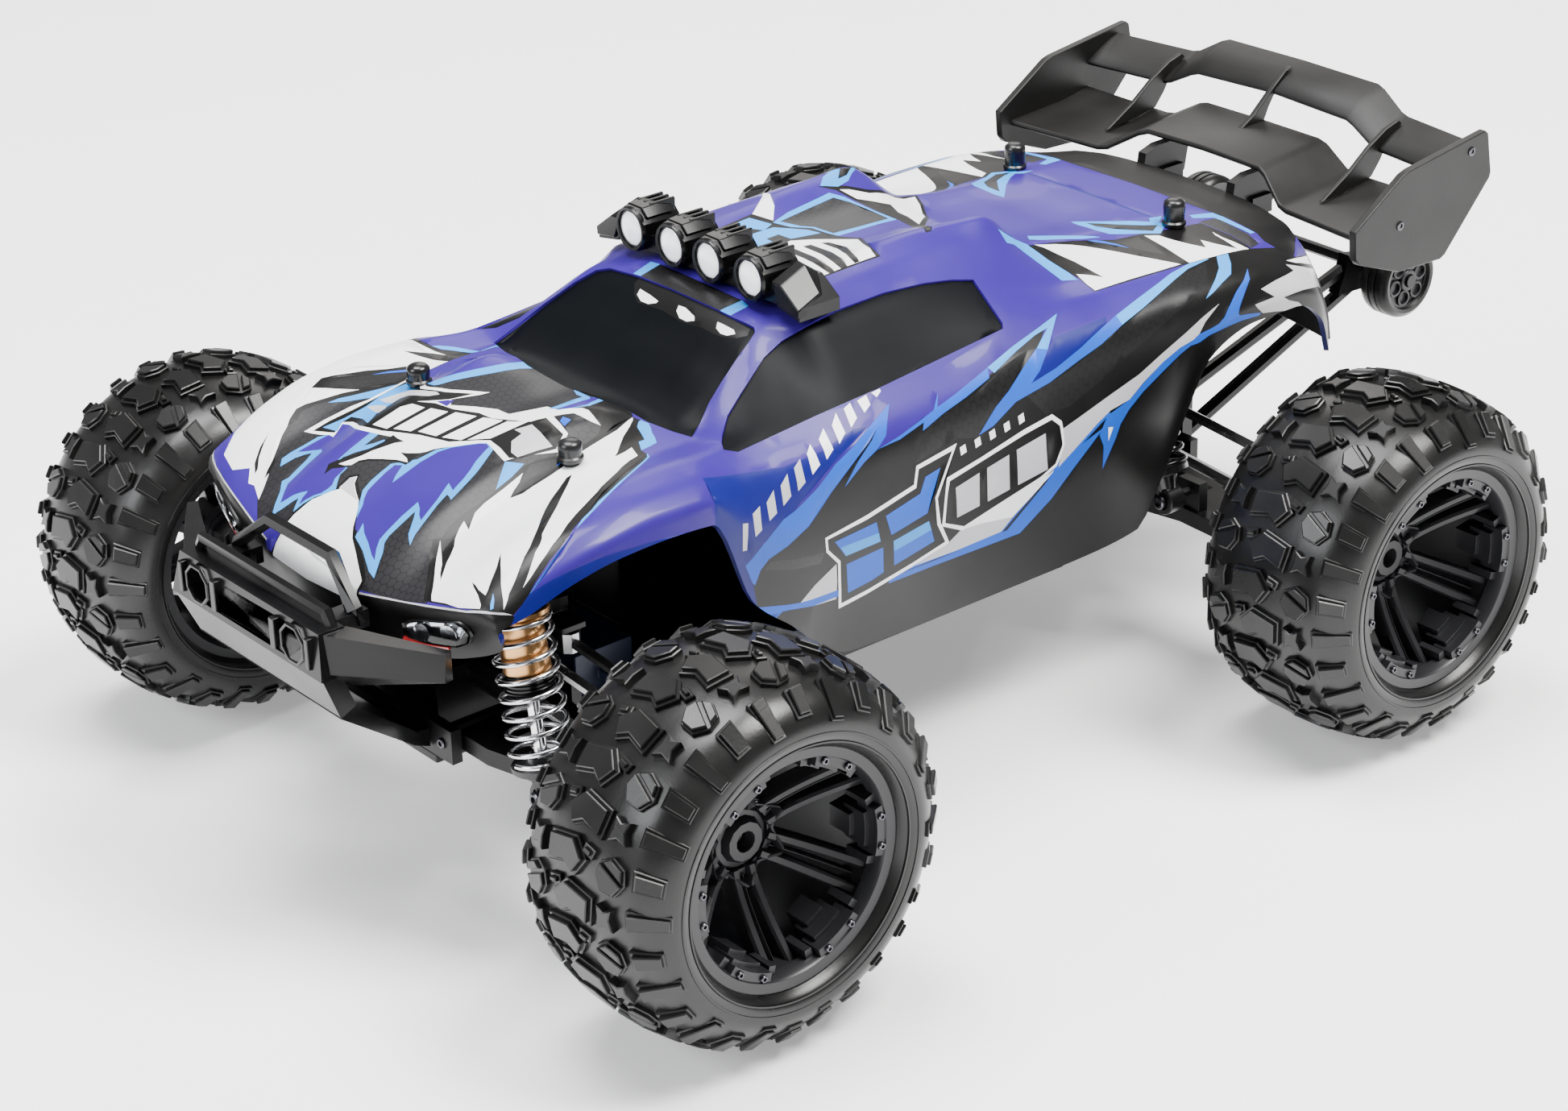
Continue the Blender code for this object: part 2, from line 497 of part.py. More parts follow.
# Half cross-sections of the shell from nose to tail: (y, sweep at full width, points (x, z) from the
# centre to the hem). The columns run along the truck: centre, two crown ridges, screen and roof edge,
# drip line, belt line, shoulder, flank and hem. The hem rises over the wheels.
SHELL_SECTIONS = [
    (-147, 13, [
        (0, 76), (12, 76), (23, 76), (32, 77), (41, 78.5), (50, 80.5), (57, 83), (61, 85), (62, 86),
    ]),
    (-148.5, 13, [
        (0, 87), (12, 87), (23, 87.5), (32, 88.5), (41, 90), (50, 92), (57, 93.5), (61.5, 93),
        (62.5, 90.5),
    ]),
    (-138, 10, [
        (0, 97), (12, 97), (23, 97.5), (32, 96), (41, 97), (50, 100), (57.5, 100.3), (62.5, 98),
        (63.5, 93),
    ]),
    (-123, 6, [
        (0, 103), (12, 104), (23, 105), (32, 102), (41, 103), (50.5, 106), (58.5, 105.8), (64, 102.5),
        (65, 97.5),
    ]),
    (-108, 3, [
        (0, 108), (12, 109), (23, 110), (32, 106.5), (41, 106.5), (51, 109), (60, 108.5), (65, 105.5),
        (66.5, 100.5),
    ]),
    (-92, 0, [
        (0, 111), (12, 112.5), (23, 113.5), (32, 109.5), (41, 109), (52, 111), (60, 110), (65, 106.5),
        (66.5, 101),
    ]),
    (-77, 0, [
        (0, 113), (12, 115), (24, 116), (33, 111), (42, 110), (52, 111.5), (60, 109.5), (65, 106),
        (66, 100),
    ]),
    (-63, 0, [
        (0, 112.5), (12, 112.5), (24, 112), (33, 111.5), (41, 109.8), (51.5, 110.8), (60, 106),
        (65, 94), (63, 74),
    ]),
    (-48, 0, [
        (0, 121.5), (12, 121.3), (23, 120.6), (31, 119.6), (37, 118.6), (51.8, 111.8), (62, 104),
        (65.5, 88), (59.5, 61),
    ]),
    (-34.5, 0, [
        (0, 130), (11, 129.8), (21, 129), (28, 128.2), (32.5, 127.1), (52.3, 112.6), (62.5, 104),
        (65.5, 86), (54, 49),
    ]),
    (-22, 0, [
        (0, 131.3), (11, 131.3), (22, 130.8), (31, 129.8), (39.5, 127.6), (52.8, 113.6), (63, 104),
        (65.5, 84), (51, 42),
    ]),
    (5, 0, [
        (0, 131), (11, 131.5), (22, 134), (31, 132.6), (39.8, 128), (52.6, 115.6), (63, 105),
        (65.5, 82), (51, 41.5),
    ]),
    (28, 0, [
        (0, 130.6), (11, 131), (23.5, 136), (31, 133), (40.4, 126.4), (52, 118), (63, 107), (65.5, 82),
        (51, 41.5),
    ]),
    (44, 0, [
        (0, 128.5), (12, 128.5), (26.5, 136), (32, 130), (42, 121), (52, 117), (63, 108.5), (65.5, 83),
        (51, 41.5),
    ]),
    (62, 0, [
        (0, 121.5), (12, 121.5), (25, 123.5), (32, 120.5), (42, 117.5), (52, 116.5), (63, 110),
        (66, 88), (51.5, 42),
    ]),
    (79, 0, [
        (0, 119.5), (12, 119.5), (24, 120.5), (32, 118.5), (42, 117), (52, 116.8), (63, 111.5),
        (66, 96), (52, 44),
    ]),
    (90, 0, [
        (0, 118.5), (12, 118.5), (24, 119.5), (32, 117.8), (42, 117), (52, 116.8), (63, 112.5),
        (66.5, 103), (66, 94.5),
    ]),
    (108, 0, [
        (0, 118), (12, 118), (24, 118.3), (32, 117), (42, 116.8), (52, 116.4), (62.5, 112.5),
        (66.5, 105.5), (66, 100.5),
    ]),
    (124, -1, [
        (0, 117), (12, 117), (24, 117), (32, 116.3), (42, 115.6), (52, 114.5), (61, 110.5), (66, 104.5),
        (66, 100.5),
    ]),
    (137, -3, [
        (0, 115.5), (12, 115.5), (24, 115.3), (32, 114.8), (42, 113.5), (51, 111), (59, 106.5),
        (64.5, 100), (65, 94),
    ]),
    (147.5, -8, [
        (0, 114), (12, 114), (24, 113.8), (32, 113.4), (42, 112), (49, 108), (56, 101.5), (61.5, 92),
        (63, 82),
    ]),
]


def body_shell():
    rings = []
    for y, sweep, half in SHELL_SECTIONS:
        full = [(-x, z) for x, z in reversed(half[1:])] + half
        rings.append([Vector((x, y + sweep * (x / SHELL_HALF_WIDTH) ** 2, z)) for x, z in full])
    count = len(rings[0])
    form = bmesh.new()
    outer = [[form.verts.new(point) for point in ring] for ring in rings]
    for i in range(len(rings) - 1):
        for j in range(count - 1):
            form.faces.new((outer[i][j], outer[i][j + 1], outer[i + 1][j + 1], outer[i + 1][j]))
    bmesh.ops.recalc_face_normals(form, faces=form.faces)
    form.normal_update()
    if sum(face.normal.z for face in form.faces) < 0:
        bmesh.ops.reverse_faces(form, faces=form.faces)
        form.normal_update()
    points = [vert.co.copy() for ring in outer for vert in ring]
    points += [vert.co - vert.normal * SHELL_WALL for ring in outer for vert in ring]
    form.free()
    total = len(rings) * count
    faces = []
    for i in range(len(rings) - 1):
        for j in range(count - 1):
            a = i * count + j
            quad = (a, a + 1, a + count + 1, a + count)
            faces.append(quad)
            faces.append(tuple(total + k for k in reversed(quad)))
    edge = list(range(count))
    edge += [i * count + count - 1 for i in range(1, len(rings))]
    edge += [(len(rings) - 1) * count + j for j in range(count - 2, -1, -1)]
    edge += [i * count for i in range(len(rings) - 2, 0, -1)]
    for here, there in zip(edge, edge[1:] + edge[:1]):
        faces.append((here, total + here, total + there, there))
    holes = []
    for x, y, top in (FRONT_POST, REAR_POST):
        for side in (-1, 1):
            holes.append(rod((side * x, y, top - 16), (side * x, y, top + 8), POST_RADIUS + POST_GAP, 8))
    make("body_shell", "purple_paint", [(points, faces)], holes)


def light_bar():
    """Roof light bar: a stepped base with four lamp pods that face forward."""
    add = [block((-32, 32), (-27.5, -15), (132, 136.5))]
    for side in (-1, 1):
        end = [(32, 131.6), (40.5, 130), (40.5, 133.5), (34, 138), (31, 138)]
        add.append(plate([(side * x, z) for x, z in end], "y", -28, -15))
    for x in (-23.9, -7.5, 7.5, 23.9):
        add.append(turned((x, -30, 137.5), (0, 1, 0), [(0, 6.1), (8, 6.1), (13, 4.4)], 8))
    cut = [rod((x, -32, 137.5), (x, -28.6, 137.5), 4.7, 8) for x in (-23.9, -7.5, 7.5, 23.9)]
    make("light_bar", "gloss_black", add, cut)


def foil(stations, thickness):
    """A wing blade across the truck: stations list (x, front y, front z, rear y, rear z)."""
    rings = []
    for x, y0, z0, y1, z1 in stations:
        rings.append([(x, y0, z0 - thickness), (x, y1, z1 - thickness), (x, y1, z1), (x, y0, z0)])
    return loft(rings)


def wing():
    """Rear wing: stepped lower blade, stepped upper blade, strakes, centre strut and two end plates."""
    lower = [(22.5, 154.5, 121, 179, 123.4), (35, 149.5, 113.8, 178, 117), (68.5, 144.5, 114.6, 176, 118)]
    upper = [(30, 182, 130.6, 195, 137.4), (40, 181, 125.5, 193.4, 131.6), (68.5, 176, 126, 188, 132)]
    add = []
    for blade in (lower, upper):
        stations = [(-x, *rest) for x, *rest in reversed(blade)] + blade
        add.append(foil(stations, 1.8))
    outline = [(140, 118), (141.4, 108.5), (158.7, 102), (176.6, 101.3), (195, 121.3), (192.5, 134.8)]
    outline.append((159.7, 130.2))
    strake = [(160, 115.5), (177, 114.5), (186, 129.5), (180, 129.5), (171, 124)]
    for side in (-1, 1):
        add.append(plate(outline, "x", side * 69.3 - 1.1, side * 69.3 + 1.1))
        add.append(plate(strake, "x", side * 42 - 0.8, side * 42 + 0.8))
    add.append(plate([(168, 121), (178, 121), (190, 134), (184, 131)], "x", -0.9, 0.9))
    make("rear_wing", "black_plastic", add)


def wheelie_bar():
    """Wheelie bar: two tubes to either side from the rear gearbox up to the small wheels' cross axle."""
    add = [block((-20, 20), (128.7, 132.5), (38.6, 60))]
    for side in (-1, 1):
        add.append(rod((side * 16, 130, 43), (side * 27, 194, 80), 2.2, 8))
        add.append(rod((side * 16, 130, 57), (side * 27, 190, 85), 2.2, 8))
        add.append(plate([(182, 77), (200, 76), (202, 85), (186, 88)], "x", side * 27 - 2, side * 27 + 2))
    add.append(rod((-43.4, 196.5, 81.5), (43.4, 196.5, 81.5), 1.8, 10))
    make("wheelie_bar", "black_plastic", add, axis_at=(0, 130, 50))
    for tag, side in (("l", 1), ("r", -1)):
        centre = Vector((side * 38, 196.5, 81.5))
        tread = [(-5, 2.2), (-5, 10.2), (-3.5, 11.3), (3.5, 11.3), (5, 10.2), (5, 2.2)]
        add = [turned(centre, (side, 0, 0), tread, 14, closed=True)]
        make(f"wheelie_wheel_{tag}", "black_plastic", add, axis_at=centre)


def corners():
    for tag, side, at, end in (
        ("fl", 1, -AXLE_Y, "front"),
        ("fr", -1, -AXLE_Y, "front"),
        ("rl", 1, AXLE_Y, "rear"),
        ("rr", -1, AXLE_Y, "rear"),
    ):
        tyre(tag, side, at)
        rim(tag, side, at)
        wheel_axle(tag, side, at)
        upright(tag, side, at, end == "front")
        if end == "front":
            knuckle(tag, side, at)
        arm(tag, side, at, end)
        camber_link(tag, side, at)
        dogbone(tag, side, at)
        shock(tag, side, at, end)


clear_scene()
corners()
steering()
gearbox("front_gearbox", -AXLE_Y, 1)
gearbox("rear_gearbox", AXLE_Y, -1)
chassis()
motor()
front_tower()
rear_tower()
bumper()
body_shell()
light_bar()
wing()
wheelie_bar()
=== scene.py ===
import json
import math

import bmesh
import bpy
import numpy as np
from mathutils import Matrix, Vector
from mathutils.geometry import delaunay_2d_cdt

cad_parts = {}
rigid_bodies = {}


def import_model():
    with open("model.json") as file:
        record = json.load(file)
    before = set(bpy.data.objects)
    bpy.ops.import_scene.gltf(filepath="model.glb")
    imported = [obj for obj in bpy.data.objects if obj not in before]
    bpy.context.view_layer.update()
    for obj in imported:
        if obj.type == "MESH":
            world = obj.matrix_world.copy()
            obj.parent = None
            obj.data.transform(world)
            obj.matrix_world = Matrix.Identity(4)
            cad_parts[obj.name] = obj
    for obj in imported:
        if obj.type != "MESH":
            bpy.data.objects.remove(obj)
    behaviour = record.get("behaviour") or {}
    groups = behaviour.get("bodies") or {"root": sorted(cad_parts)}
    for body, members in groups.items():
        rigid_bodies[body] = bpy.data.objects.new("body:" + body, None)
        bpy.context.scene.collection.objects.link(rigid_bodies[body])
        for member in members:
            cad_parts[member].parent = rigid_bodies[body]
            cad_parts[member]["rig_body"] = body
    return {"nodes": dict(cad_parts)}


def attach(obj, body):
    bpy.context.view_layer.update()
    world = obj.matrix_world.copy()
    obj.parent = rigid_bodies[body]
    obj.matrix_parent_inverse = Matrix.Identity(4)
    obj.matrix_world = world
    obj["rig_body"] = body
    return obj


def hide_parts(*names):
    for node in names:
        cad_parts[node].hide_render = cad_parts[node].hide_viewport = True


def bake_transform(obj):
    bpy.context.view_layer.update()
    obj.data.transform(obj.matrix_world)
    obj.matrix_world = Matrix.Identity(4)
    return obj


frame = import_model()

# Everything below is laid out as the CAD is: millimetres about a datum on the ground midway between the
# axles, the nose towards -Y and the truck's left towards +X. place() turns that into the frame's metres.

MM = 0.001
DATUM_Y = -20.5
AXLE_Y = 108.7
AXLE_Z = 48.0
WHEEL_X = 110.4
CORNERS = (("fl", 1, -AXLE_Y), ("fr", -1, -AXLE_Y), ("rl", 1, AXLE_Y), ("rr", -1, AXLE_Y))
SHOCK_Y = -16.0
SHOCKS = {"f": ((51.8, 96.0), (61.0, 43.5)), "r": ((31.0, 91.0), (50.0, 48.0))}
TO_FRAME = Matrix.Scale(MM, 4) @ Matrix.Translation((0, DATUM_Y, 0))

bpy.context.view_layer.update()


# Materials: small node trees, most with colour variation, a roughness break-up and a fine bump


def shader_of(name):
    made = bpy.data.materials.new(name)
    made.use_nodes = True
    return made, made.node_tree, made.node_tree.nodes["Principled BSDF"]


def add_node(tree, kind, **settings):
    node = tree.nodes.new(kind)
    for key, value in settings.items():
        setattr(node, key, value)
    return node


def scaled(colour, factor):
    return tuple(min(1.0, c * factor) for c in colour) + (1.0,)


def plain(name, colour, rough, metal=0.0, grain=900.0, spread=0.25, bump=0.04, coat=0.0, rough_spread=0.12,
          emission=0.0, specular=0.5):
    """A moulded, painted or metal surface: slow and fine noise in colour, roughness and height."""
    made, tree, shader = shader_of(name)
    place_node = add_node(tree, "ShaderNodeTexCoord")
    slow = add_node(tree, "ShaderNodeTexNoise")
    slow.inputs["Scale"].default_value = 38.0
    slow.inputs["Detail"].default_value = 5.0
    fine = add_node(tree, "ShaderNodeTexNoise")
    fine.inputs["Scale"].default_value = grain
    fine.inputs["Detail"].default_value = 3.0
    for noise in (slow, fine):
        tree.links.new(place_node.outputs["Object"], noise.inputs["Vector"])
    tint = add_node(tree, "ShaderNodeValToRGB")
    tint.color_ramp.elements[0].position = 0.3
    tint.color_ramp.elements[1].position = 0.72
    tint.color_ramp.elements[0].color = scaled(colour, 1 - spread)
    tint.color_ramp.elements[1].color = scaled(colour, 1 + spread)
    tree.links.new(slow.outputs["Fac"], tint.inputs["Fac"])
    tree.links.new(tint.outputs["Color"], shader.inputs["Base Color"])
    polish = add_node(tree, "ShaderNodeMapRange")
    polish.inputs["From Min"].default_value = 0.3
    polish.inputs["From Max"].default_value = 0.7
    polish.inputs["To Min"].default_value = max(0.02, rough - rough_spread / 2)
    polish.inputs["To Max"].default_value = min(1.0, rough + rough_spread / 2)
    tree.links.new(slow.outputs["Fac"], polish.inputs["Value"])
    tree.links.new(polish.outputs["Result"], shader.inputs["Roughness"])
    if bump:
        height = add_node(tree, "ShaderNodeBump")
        height.inputs["Strength"].default_value = bump
        height.inputs["Distance"].default_value = 0.0002
        tree.links.new(fine.outputs["Fac"], height.inputs["Height"])
        tree.links.new(height.outputs["Normal"], shader.inputs["Normal"])
    shader.inputs["Metallic"].default_value = metal
    shader.inputs["Specular IOR Level"].default_value = specular
    if coat:
        shader.inputs["Coat Weight"].default_value = coat
        shader.inputs["Coat Roughness"].default_value = 0.06
    if emission:
        shader.inputs["Emission Color"].default_value = (*colour, 1.0)
        shader.inputs["Emission Strength"].default_value = emission
    return made


def hexed(name, ground, line, cell=2.1, width=0.44):
    """Printed hexagon mesh on the shell's sheet coordinates, which the UV map holds in centimetres."""
    made, tree, shader = shader_of(name)
    uv = add_node(tree, "ShaderNodeUVMap", uv_map="Sheet")
    grid = add_node(tree, "ShaderNodeVectorMath", operation="SCALE")
    grid.inputs["Scale"].default_value = 10.0 / cell
    tree.links.new(uv.outputs["UV"], grid.inputs[0])
    period, half = (1.0, 1.7320508, 1.0), (0.5, 0.8660254, 0.5)
    centres = []
    for shift in ((40.0, 69.282032, 0.0), (40.5, 70.148057, 0.0)):
        moved = add_node(tree, "ShaderNodeVectorMath", operation="ADD")
        moved.inputs[1].default_value = shift
        wrapped = add_node(tree, "ShaderNodeVectorMath", operation="MODULO")
        wrapped.inputs[1].default_value = period
        centred = add_node(tree, "ShaderNodeVectorMath", operation="SUBTRACT")
        centred.inputs[1].default_value = half
        flat = add_node(tree, "ShaderNodeVectorMath", operation="MULTIPLY")
        flat.inputs[1].default_value = (1.0, 1.0, 0.0)
        folded = add_node(tree, "ShaderNodeVectorMath", operation="ABSOLUTE")
        tree.links.new(grid.outputs[0], moved.inputs[0])
        tree.links.new(moved.outputs[0], wrapped.inputs[0])
        tree.links.new(wrapped.outputs[0], centred.inputs[0])
        tree.links.new(centred.outputs[0], flat.inputs[0])
        tree.links.new(flat.outputs[0], folded.inputs[0])
        slant = add_node(tree, "ShaderNodeVectorMath", operation="DOT_PRODUCT")
        slant.inputs[1].default_value = (0.5, 0.8660254, 0.0)
        across = add_node(tree, "ShaderNodeSeparateXYZ")
        reach = add_node(tree, "ShaderNodeMath", operation="MAXIMUM")
        tree.links.new(folded.outputs[0], slant.inputs[0])
        tree.links.new(folded.outputs[0], across.inputs[0])
        tree.links.new(slant.outputs["Value"], reach.inputs[0])
        tree.links.new(across.outputs["X"], reach.inputs[1])
        centres.append(reach)
    nearest = add_node(tree, "ShaderNodeMath", operation="MINIMUM")
    tree.links.new(centres[0].outputs[0], nearest.inputs[0])
    tree.links.new(centres[1].outputs[0], nearest.inputs[1])
    edge = add_node(tree, "ShaderNodeMapRange", interpolation_type="SMOOTHSTEP")
    edge.inputs["From Min"].default_value = width - 0.02
    edge.inputs["From Max"].default_value = width + 0.03
    tree.links.new(nearest.outputs[0], edge.inputs["Value"])
    mix = add_node(tree, "ShaderNodeMix", data_type="RGBA")
    mix.inputs["A"].default_value = (*ground, 1)
    mix.inputs["B"].default_value = (*line, 1)
    tree.links.new(edge.outputs["Result"], mix.inputs["Factor"])
    tree.links.new(mix.outputs["Result"], shader.inputs["Base Color"])
    shader.inputs["Roughness"].default_value = 0.36
    shader.inputs["Specular IOR Level"].default_value = 0.3
    return made


RUBBER = plain("tyre_rubber", (0.0050, 0.0048, 0.0047), 0.34, grain=1400, spread=0.30, bump=0.10,
               rough_spread=0.16, specular=0.4)
RIM = plain("rim_plastic", (0.014, 0.014, 0.016), 0.36, grain=1600, spread=0.16, bump=0.05, specular=0.35)
BLACK = plain("black_plastic", (0.0030, 0.0030, 0.0033), 0.38, grain=1300, spread=0.25, bump=0.08,
              specular=0.3)
WING = plain("wing_black", (0.0060, 0.0056, 0.0054), 0.42, grain=1500, spread=0.18, bump=0.10, specular=0.3)
GLOSS = plain("gloss_black", (0.0025, 0.0025, 0.0028), 0.24, grain=500, spread=0.2, bump=0.01, specular=0.3)
DARK = plain("inner_black", (0.003, 0.003, 0.0035), 0.60, grain=900, spread=0.2, bump=0.05, specular=0.2)
CAP = plain("cap_rubber", (0.005, 0.005, 0.0055), 0.26, grain=900, spread=0.2, bump=0.04)
GOLD = plain("gold_metal", (0.66, 0.36, 0.15), 0.27, metal=1.0, grain=1800, spread=0.10, bump=0.05)
CHROME = plain("chrome", (0.74, 0.74, 0.77), 0.14, metal=1.0, grain=1500, spread=0.05, bump=0.02)
STEEL = plain("steel", (0.42, 0.42, 0.43), 0.30, metal=1.0, grain=1800, spread=0.12, bump=0.08)
SCREW = plain("screw_steel", (0.10, 0.10, 0.11), 0.28, metal=1.0, grain=1500, spread=0.15, bump=0.05)
SERVO = plain("servo_blue", (0.02, 0.03, 0.07), 0.42, grain=1300, spread=0.2, bump=0.06)
PURPLE = plain("purple_paint", (0.030, 0.010, 0.195), 0.36, grain=600, spread=0.05, bump=0.0, coat=0.10,
               specular=0.22)
# navy: the shell's rim and a deck line, and painted shade on the arch bevel, the flank and the sill
NAVY = plain("navy_paint_and_shade", (0.0045, 0.006, 0.14), 0.40, grain=600, spread=0.06, bump=0.0, specular=0.25)
# white: the printed white, and painted reflections of the lamps on the screen's top edge
WHITE = plain("white_print_and_highlight", (0.90, 0.91, 0.92), 0.40, grain=600, spread=0.02, bump=0.0, coat=0.2)
# silver: the printed silver, and a painted highlight along the fascia's lip
SILVER = plain("silver_print_and_highlight", (0.46, 0.46, 0.49), 0.40, grain=600, spread=0.06, bump=0.0, coat=0.2)
CYAN = plain("cyan_print", (0.022, 0.27, 0.72), 0.40, grain=600, spread=0.06, bump=0.0, specular=0.25)
BLUE = plain("blue_print", (0.004, 0.085, 0.52), 0.40, grain=600, spread=0.08, bump=0.0, specular=0.25)
INK = plain("ink_print", (0.0035, 0.0032, 0.0032), 0.36, grain=600, spread=0.15, bump=0.0, specular=0.25)
GLASS = plain("window_black", (0.0012, 0.0018, 0.0028), 0.45, grain=600, spread=0.1, bump=0.0,
              specular=0.08)
HEX = hexed("hexagon_print", (0.014, 0.0135, 0.0155), (0.0045, 0.0045, 0.006))
HEXDARK = hexed("hexagon_dark_print", (0.0065, 0.0060, 0.0065), (0.002, 0.002, 0.0026))
LAMP = plain("lamp_white", (0.95, 0.97, 1.0), 0.20, grain=600, spread=0.02, bump=0.0, coat=0.8,
             emission=0.9)
REFLECT = plain("reflector", (0.85, 0.86, 0.88), 0.10, metal=1.0, grain=900, spread=0.05, bump=0.02)
RED = plain("red_lamp", (0.60, 0.015, 0.02), 0.22, grain=700, spread=0.2, bump=0.02, coat=0.6)
FLOOR = plain("studio_floor", (0.97, 0.97, 0.975), 0.9, grain=60, spread=0.005, bump=0.0, specular=0.1,
              emission=0.35)


def clear_lens():
    made, tree, shader = shader_of("clear_lens")
    noise = add_node(tree, "ShaderNodeTexNoise")
    noise.inputs["Scale"].default_value = 300.0
    polish = add_node(tree, "ShaderNodeMapRange")
    polish.inputs["To Min"].default_value = 0.02
    polish.inputs["To Max"].default_value = 0.07
    tree.links.new(noise.outputs["Fac"], polish.inputs["Value"])
    tree.links.new(polish.outputs["Result"], shader.inputs["Roughness"])
    shader.inputs["Transmission Weight"].default_value = 1.0
    shader.inputs["IOR"].default_value = 1.30
    shader.inputs["Base Color"].default_value = (0.95, 0.97, 1.0, 1)
    return made


LENS = clear_lens()


# Pieces


def place(obj, body=None):
    """From millimetres about the datum to the frame's metres, riding on a body."""
    obj.data.transform(TO_FRAME)
    if body:
        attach(obj, body)
    return obj


def piece(name, points, faces, look, body=None, bevel=0.0, segments=2, angle=32):
    """A mesh from points in millimetres, with one material."""
    mesh = bpy.data.meshes.new(name)
    mesh.from_pydata([tuple(p) for p in points], [], [tuple(f) for f in faces])
    form = bmesh.new()
    form.from_mesh(mesh)
    bmesh.ops.recalc_face_normals(form, faces=form.faces)
    form.to_mesh(mesh)
    form.free()
    mesh.materials.append(look)
    obj = bpy.data.objects.new(name, mesh)
    bpy.context.scene.collection.objects.link(obj)
    finish(obj, bevel, segments, angle)
    place(obj, body)
    return obj


def finish(obj, bevel, segments=2, angle=32):
    obj.data.shade_smooth()
    if bevel:
        rounding = obj.modifiers.new("edges", "BEVEL")
        rounding.width = bevel * MM
        rounding.segments = segments
        rounding.limit_method = "ANGLE"
        rounding.angle_limit = math.radians(angle)
        rounding.harden_normals = True
        rounding.miter_outer = "MITER_ARC"
    else:
        obj.data.set_sharp_from_angle(angle=math.radians(angle))


def merged(parts):
    """Several (points, faces) as one."""
    points, faces = [], []
    for some, more in parts:
        start = len(points)
        points += [Vector(p) for p in some]
        faces += [tuple(start + i for i in f) for f in more]
    return points, faces


def moved(part, matrix):
    points, faces = part
    return [matrix @ Vector(p) for p in points], faces


def mirrored(part, side):
    points, faces = part
    return [Vector((side * p[0], p[1], p[2])) for p in points], faces


def loft(rings, closed=False, caps=True):
    count = len(rings[0])
    points = [Vector(point) for ring in rings for point in ring]
    faces = []
    for i in range(len(rings) if closed else len(rings) - 1):
        here = i * count
        there = (i + 1) % len(rings) * count
        for j in range(count):
            k = (j + 1) % count
            faces.append((here + j, here + k, there + k, there + j))
    if caps and not closed:
        faces.append(tuple(reversed(range(count))))
        faces.append(tuple(range(len(points) - count, len(points))))
    return points, faces


def block(x, y, z):
    corners = [(x[0], y[0]), (x[1], y[0]), (x[1], y[1]), (x[0], y[1])]
    return loft([[(a, b, height) for a, b in corners] for height in z])


def turned(start, axis, profile, sides=32, closed=False, phase=0.5):
    """A turned shape: profile lists (distance from start along axis, radius)."""
    along = Vector(axis).normalized()
    turn = along.to_track_quat("Z", "Y").to_matrix()
    angles = [2 * math.pi * (i + phase) / sides for i in range(sides)]
    rings = []
    for d, r in profile:
        rings.append([Vector(start) + turn @ Vector((r * math.cos(a), r * math.sin(a), d)) for a in angles])
    return loft(rings, closed)


def rod(start, end, radius, sides=20):
    axis = Vector(end) - Vector(start)
    edge = min(0.35, radius * 0.3)
    profile = [(0, radius - edge), (edge, radius), (axis.length - edge, radius),
               (axis.length, radius - edge)]
    return turned(start, axis, profile, sides)


def tube(path, radius, sides=12):
    """A round bar along a path of many points."""
    path = [Vector(p) for p in path]
    side = Vector((0.13, 0.29, 0.95))
    rings = []
    for i, point in enumerate(path):
        after = path[min(i + 1, len(path) - 1)] - path[max(i - 1, 0)]
        along = after.normalized()
        side = (side - along * side.dot(along)).normalized()
        up = along.cross(side)
        angles = [2 * math.pi * j / sides for j in range(sides)]
        rings.append([point + radius * (side * math.cos(a) + up * math.sin(a)) for a in angles])
    return loft(rings)


def refined(node, look, bevel=0.35, segments=2):
    """The CAD node's own shape with softened edges, standing for it."""
    source = frame["nodes"][node]
    obj = bpy.data.objects.new(node + "_fine", source.data.copy())
    bpy.context.scene.collection.objects.link(obj)
    form = bmesh.new()
    form.from_mesh(obj.data)
    bmesh.ops.remove_doubles(form, verts=form.verts, dist=2e-6)
    edges = [e for e in form.edges if len(e.link_faces) == 2]
    bmesh.ops.dissolve_limit(form, angle_limit=math.radians(2), verts=form.verts, edges=edges)
    form.to_mesh(obj.data)
    form.free()
    obj.data.materials.clear()
    obj.data.materials.append(look)
    if obj.data.has_custom_normals:
        with bpy.context.temp_override(object=obj, active_object=obj, selected_objects=[obj]):
            bpy.ops.mesh.customdata_custom_splitnormals_clear()
    finish(obj, bevel, segments, 28)
    if bevel:
        obj.modifiers["edges"].use_clamp_overlap = True
    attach(obj, source["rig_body"])
    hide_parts(node)
    return obj


# Wheels, made once about their own centre with +X outwards

PITCHES = 14
TREAD_RADIUS = 45.6
TYRE_HALF = [(0, 45.6), (5, 45.5), (10, 45.1), (14.5, 44.3), (18.6, 43.0), (21.8, 40.9), (24.0, 38.2),
             (25.1, 35.4), (24.9, 33.0), (23.8, 31.3), (22.2, 30.6)]
PITCH = 2 * math.pi * TREAD_RADIUS / PITCHES

LUG_BLOCKS = [  # outline in (across, along) millimetres, height, second step's height
    ([(-8.2, 1.6), (0.6, 0.0), (5.0, 4.2), (1.8, 9.0), (-1.6, 7.2), (-7.6, 8.8)], 1.25, 2.25),
    ([(-7.0, 11.6), (-3.4, 10.8), (-2.7, 13.2), (-6.2, 14.0)], 1.1, 1.9),
    ([(-1.6, 11.4), (0.4, 10.9), (0.9, 13.4), (-1.0, 13.8)], 1.2, None),
    ([(9.2, 2.2), (12.4, 0.6), (15.9, 2.4), (16.6, 6.0), (14.4, 9.4), (10.4, 9.0), (8.4, 5.6)], 1.15,
     "split"),
    ([(10.0, 12.2), (12.0, 13.3), (14.2, 12.4), (13.8, 15.0), (14.9, 17.6), (12.0, 16.8), (9.9, 18.0),
      (10.4, 15.0)], 2.0, None),
    ([(18.0, 1.2), (25.4, 1.8), (25.4, 6.8), (18.4, 6.4)], 1.3, 2.2),
    ([(17.4, 11.4), (27.6, 11.9), (27.6, 16.4), (17.6, 16.6)], 1.3, 2.2),
]


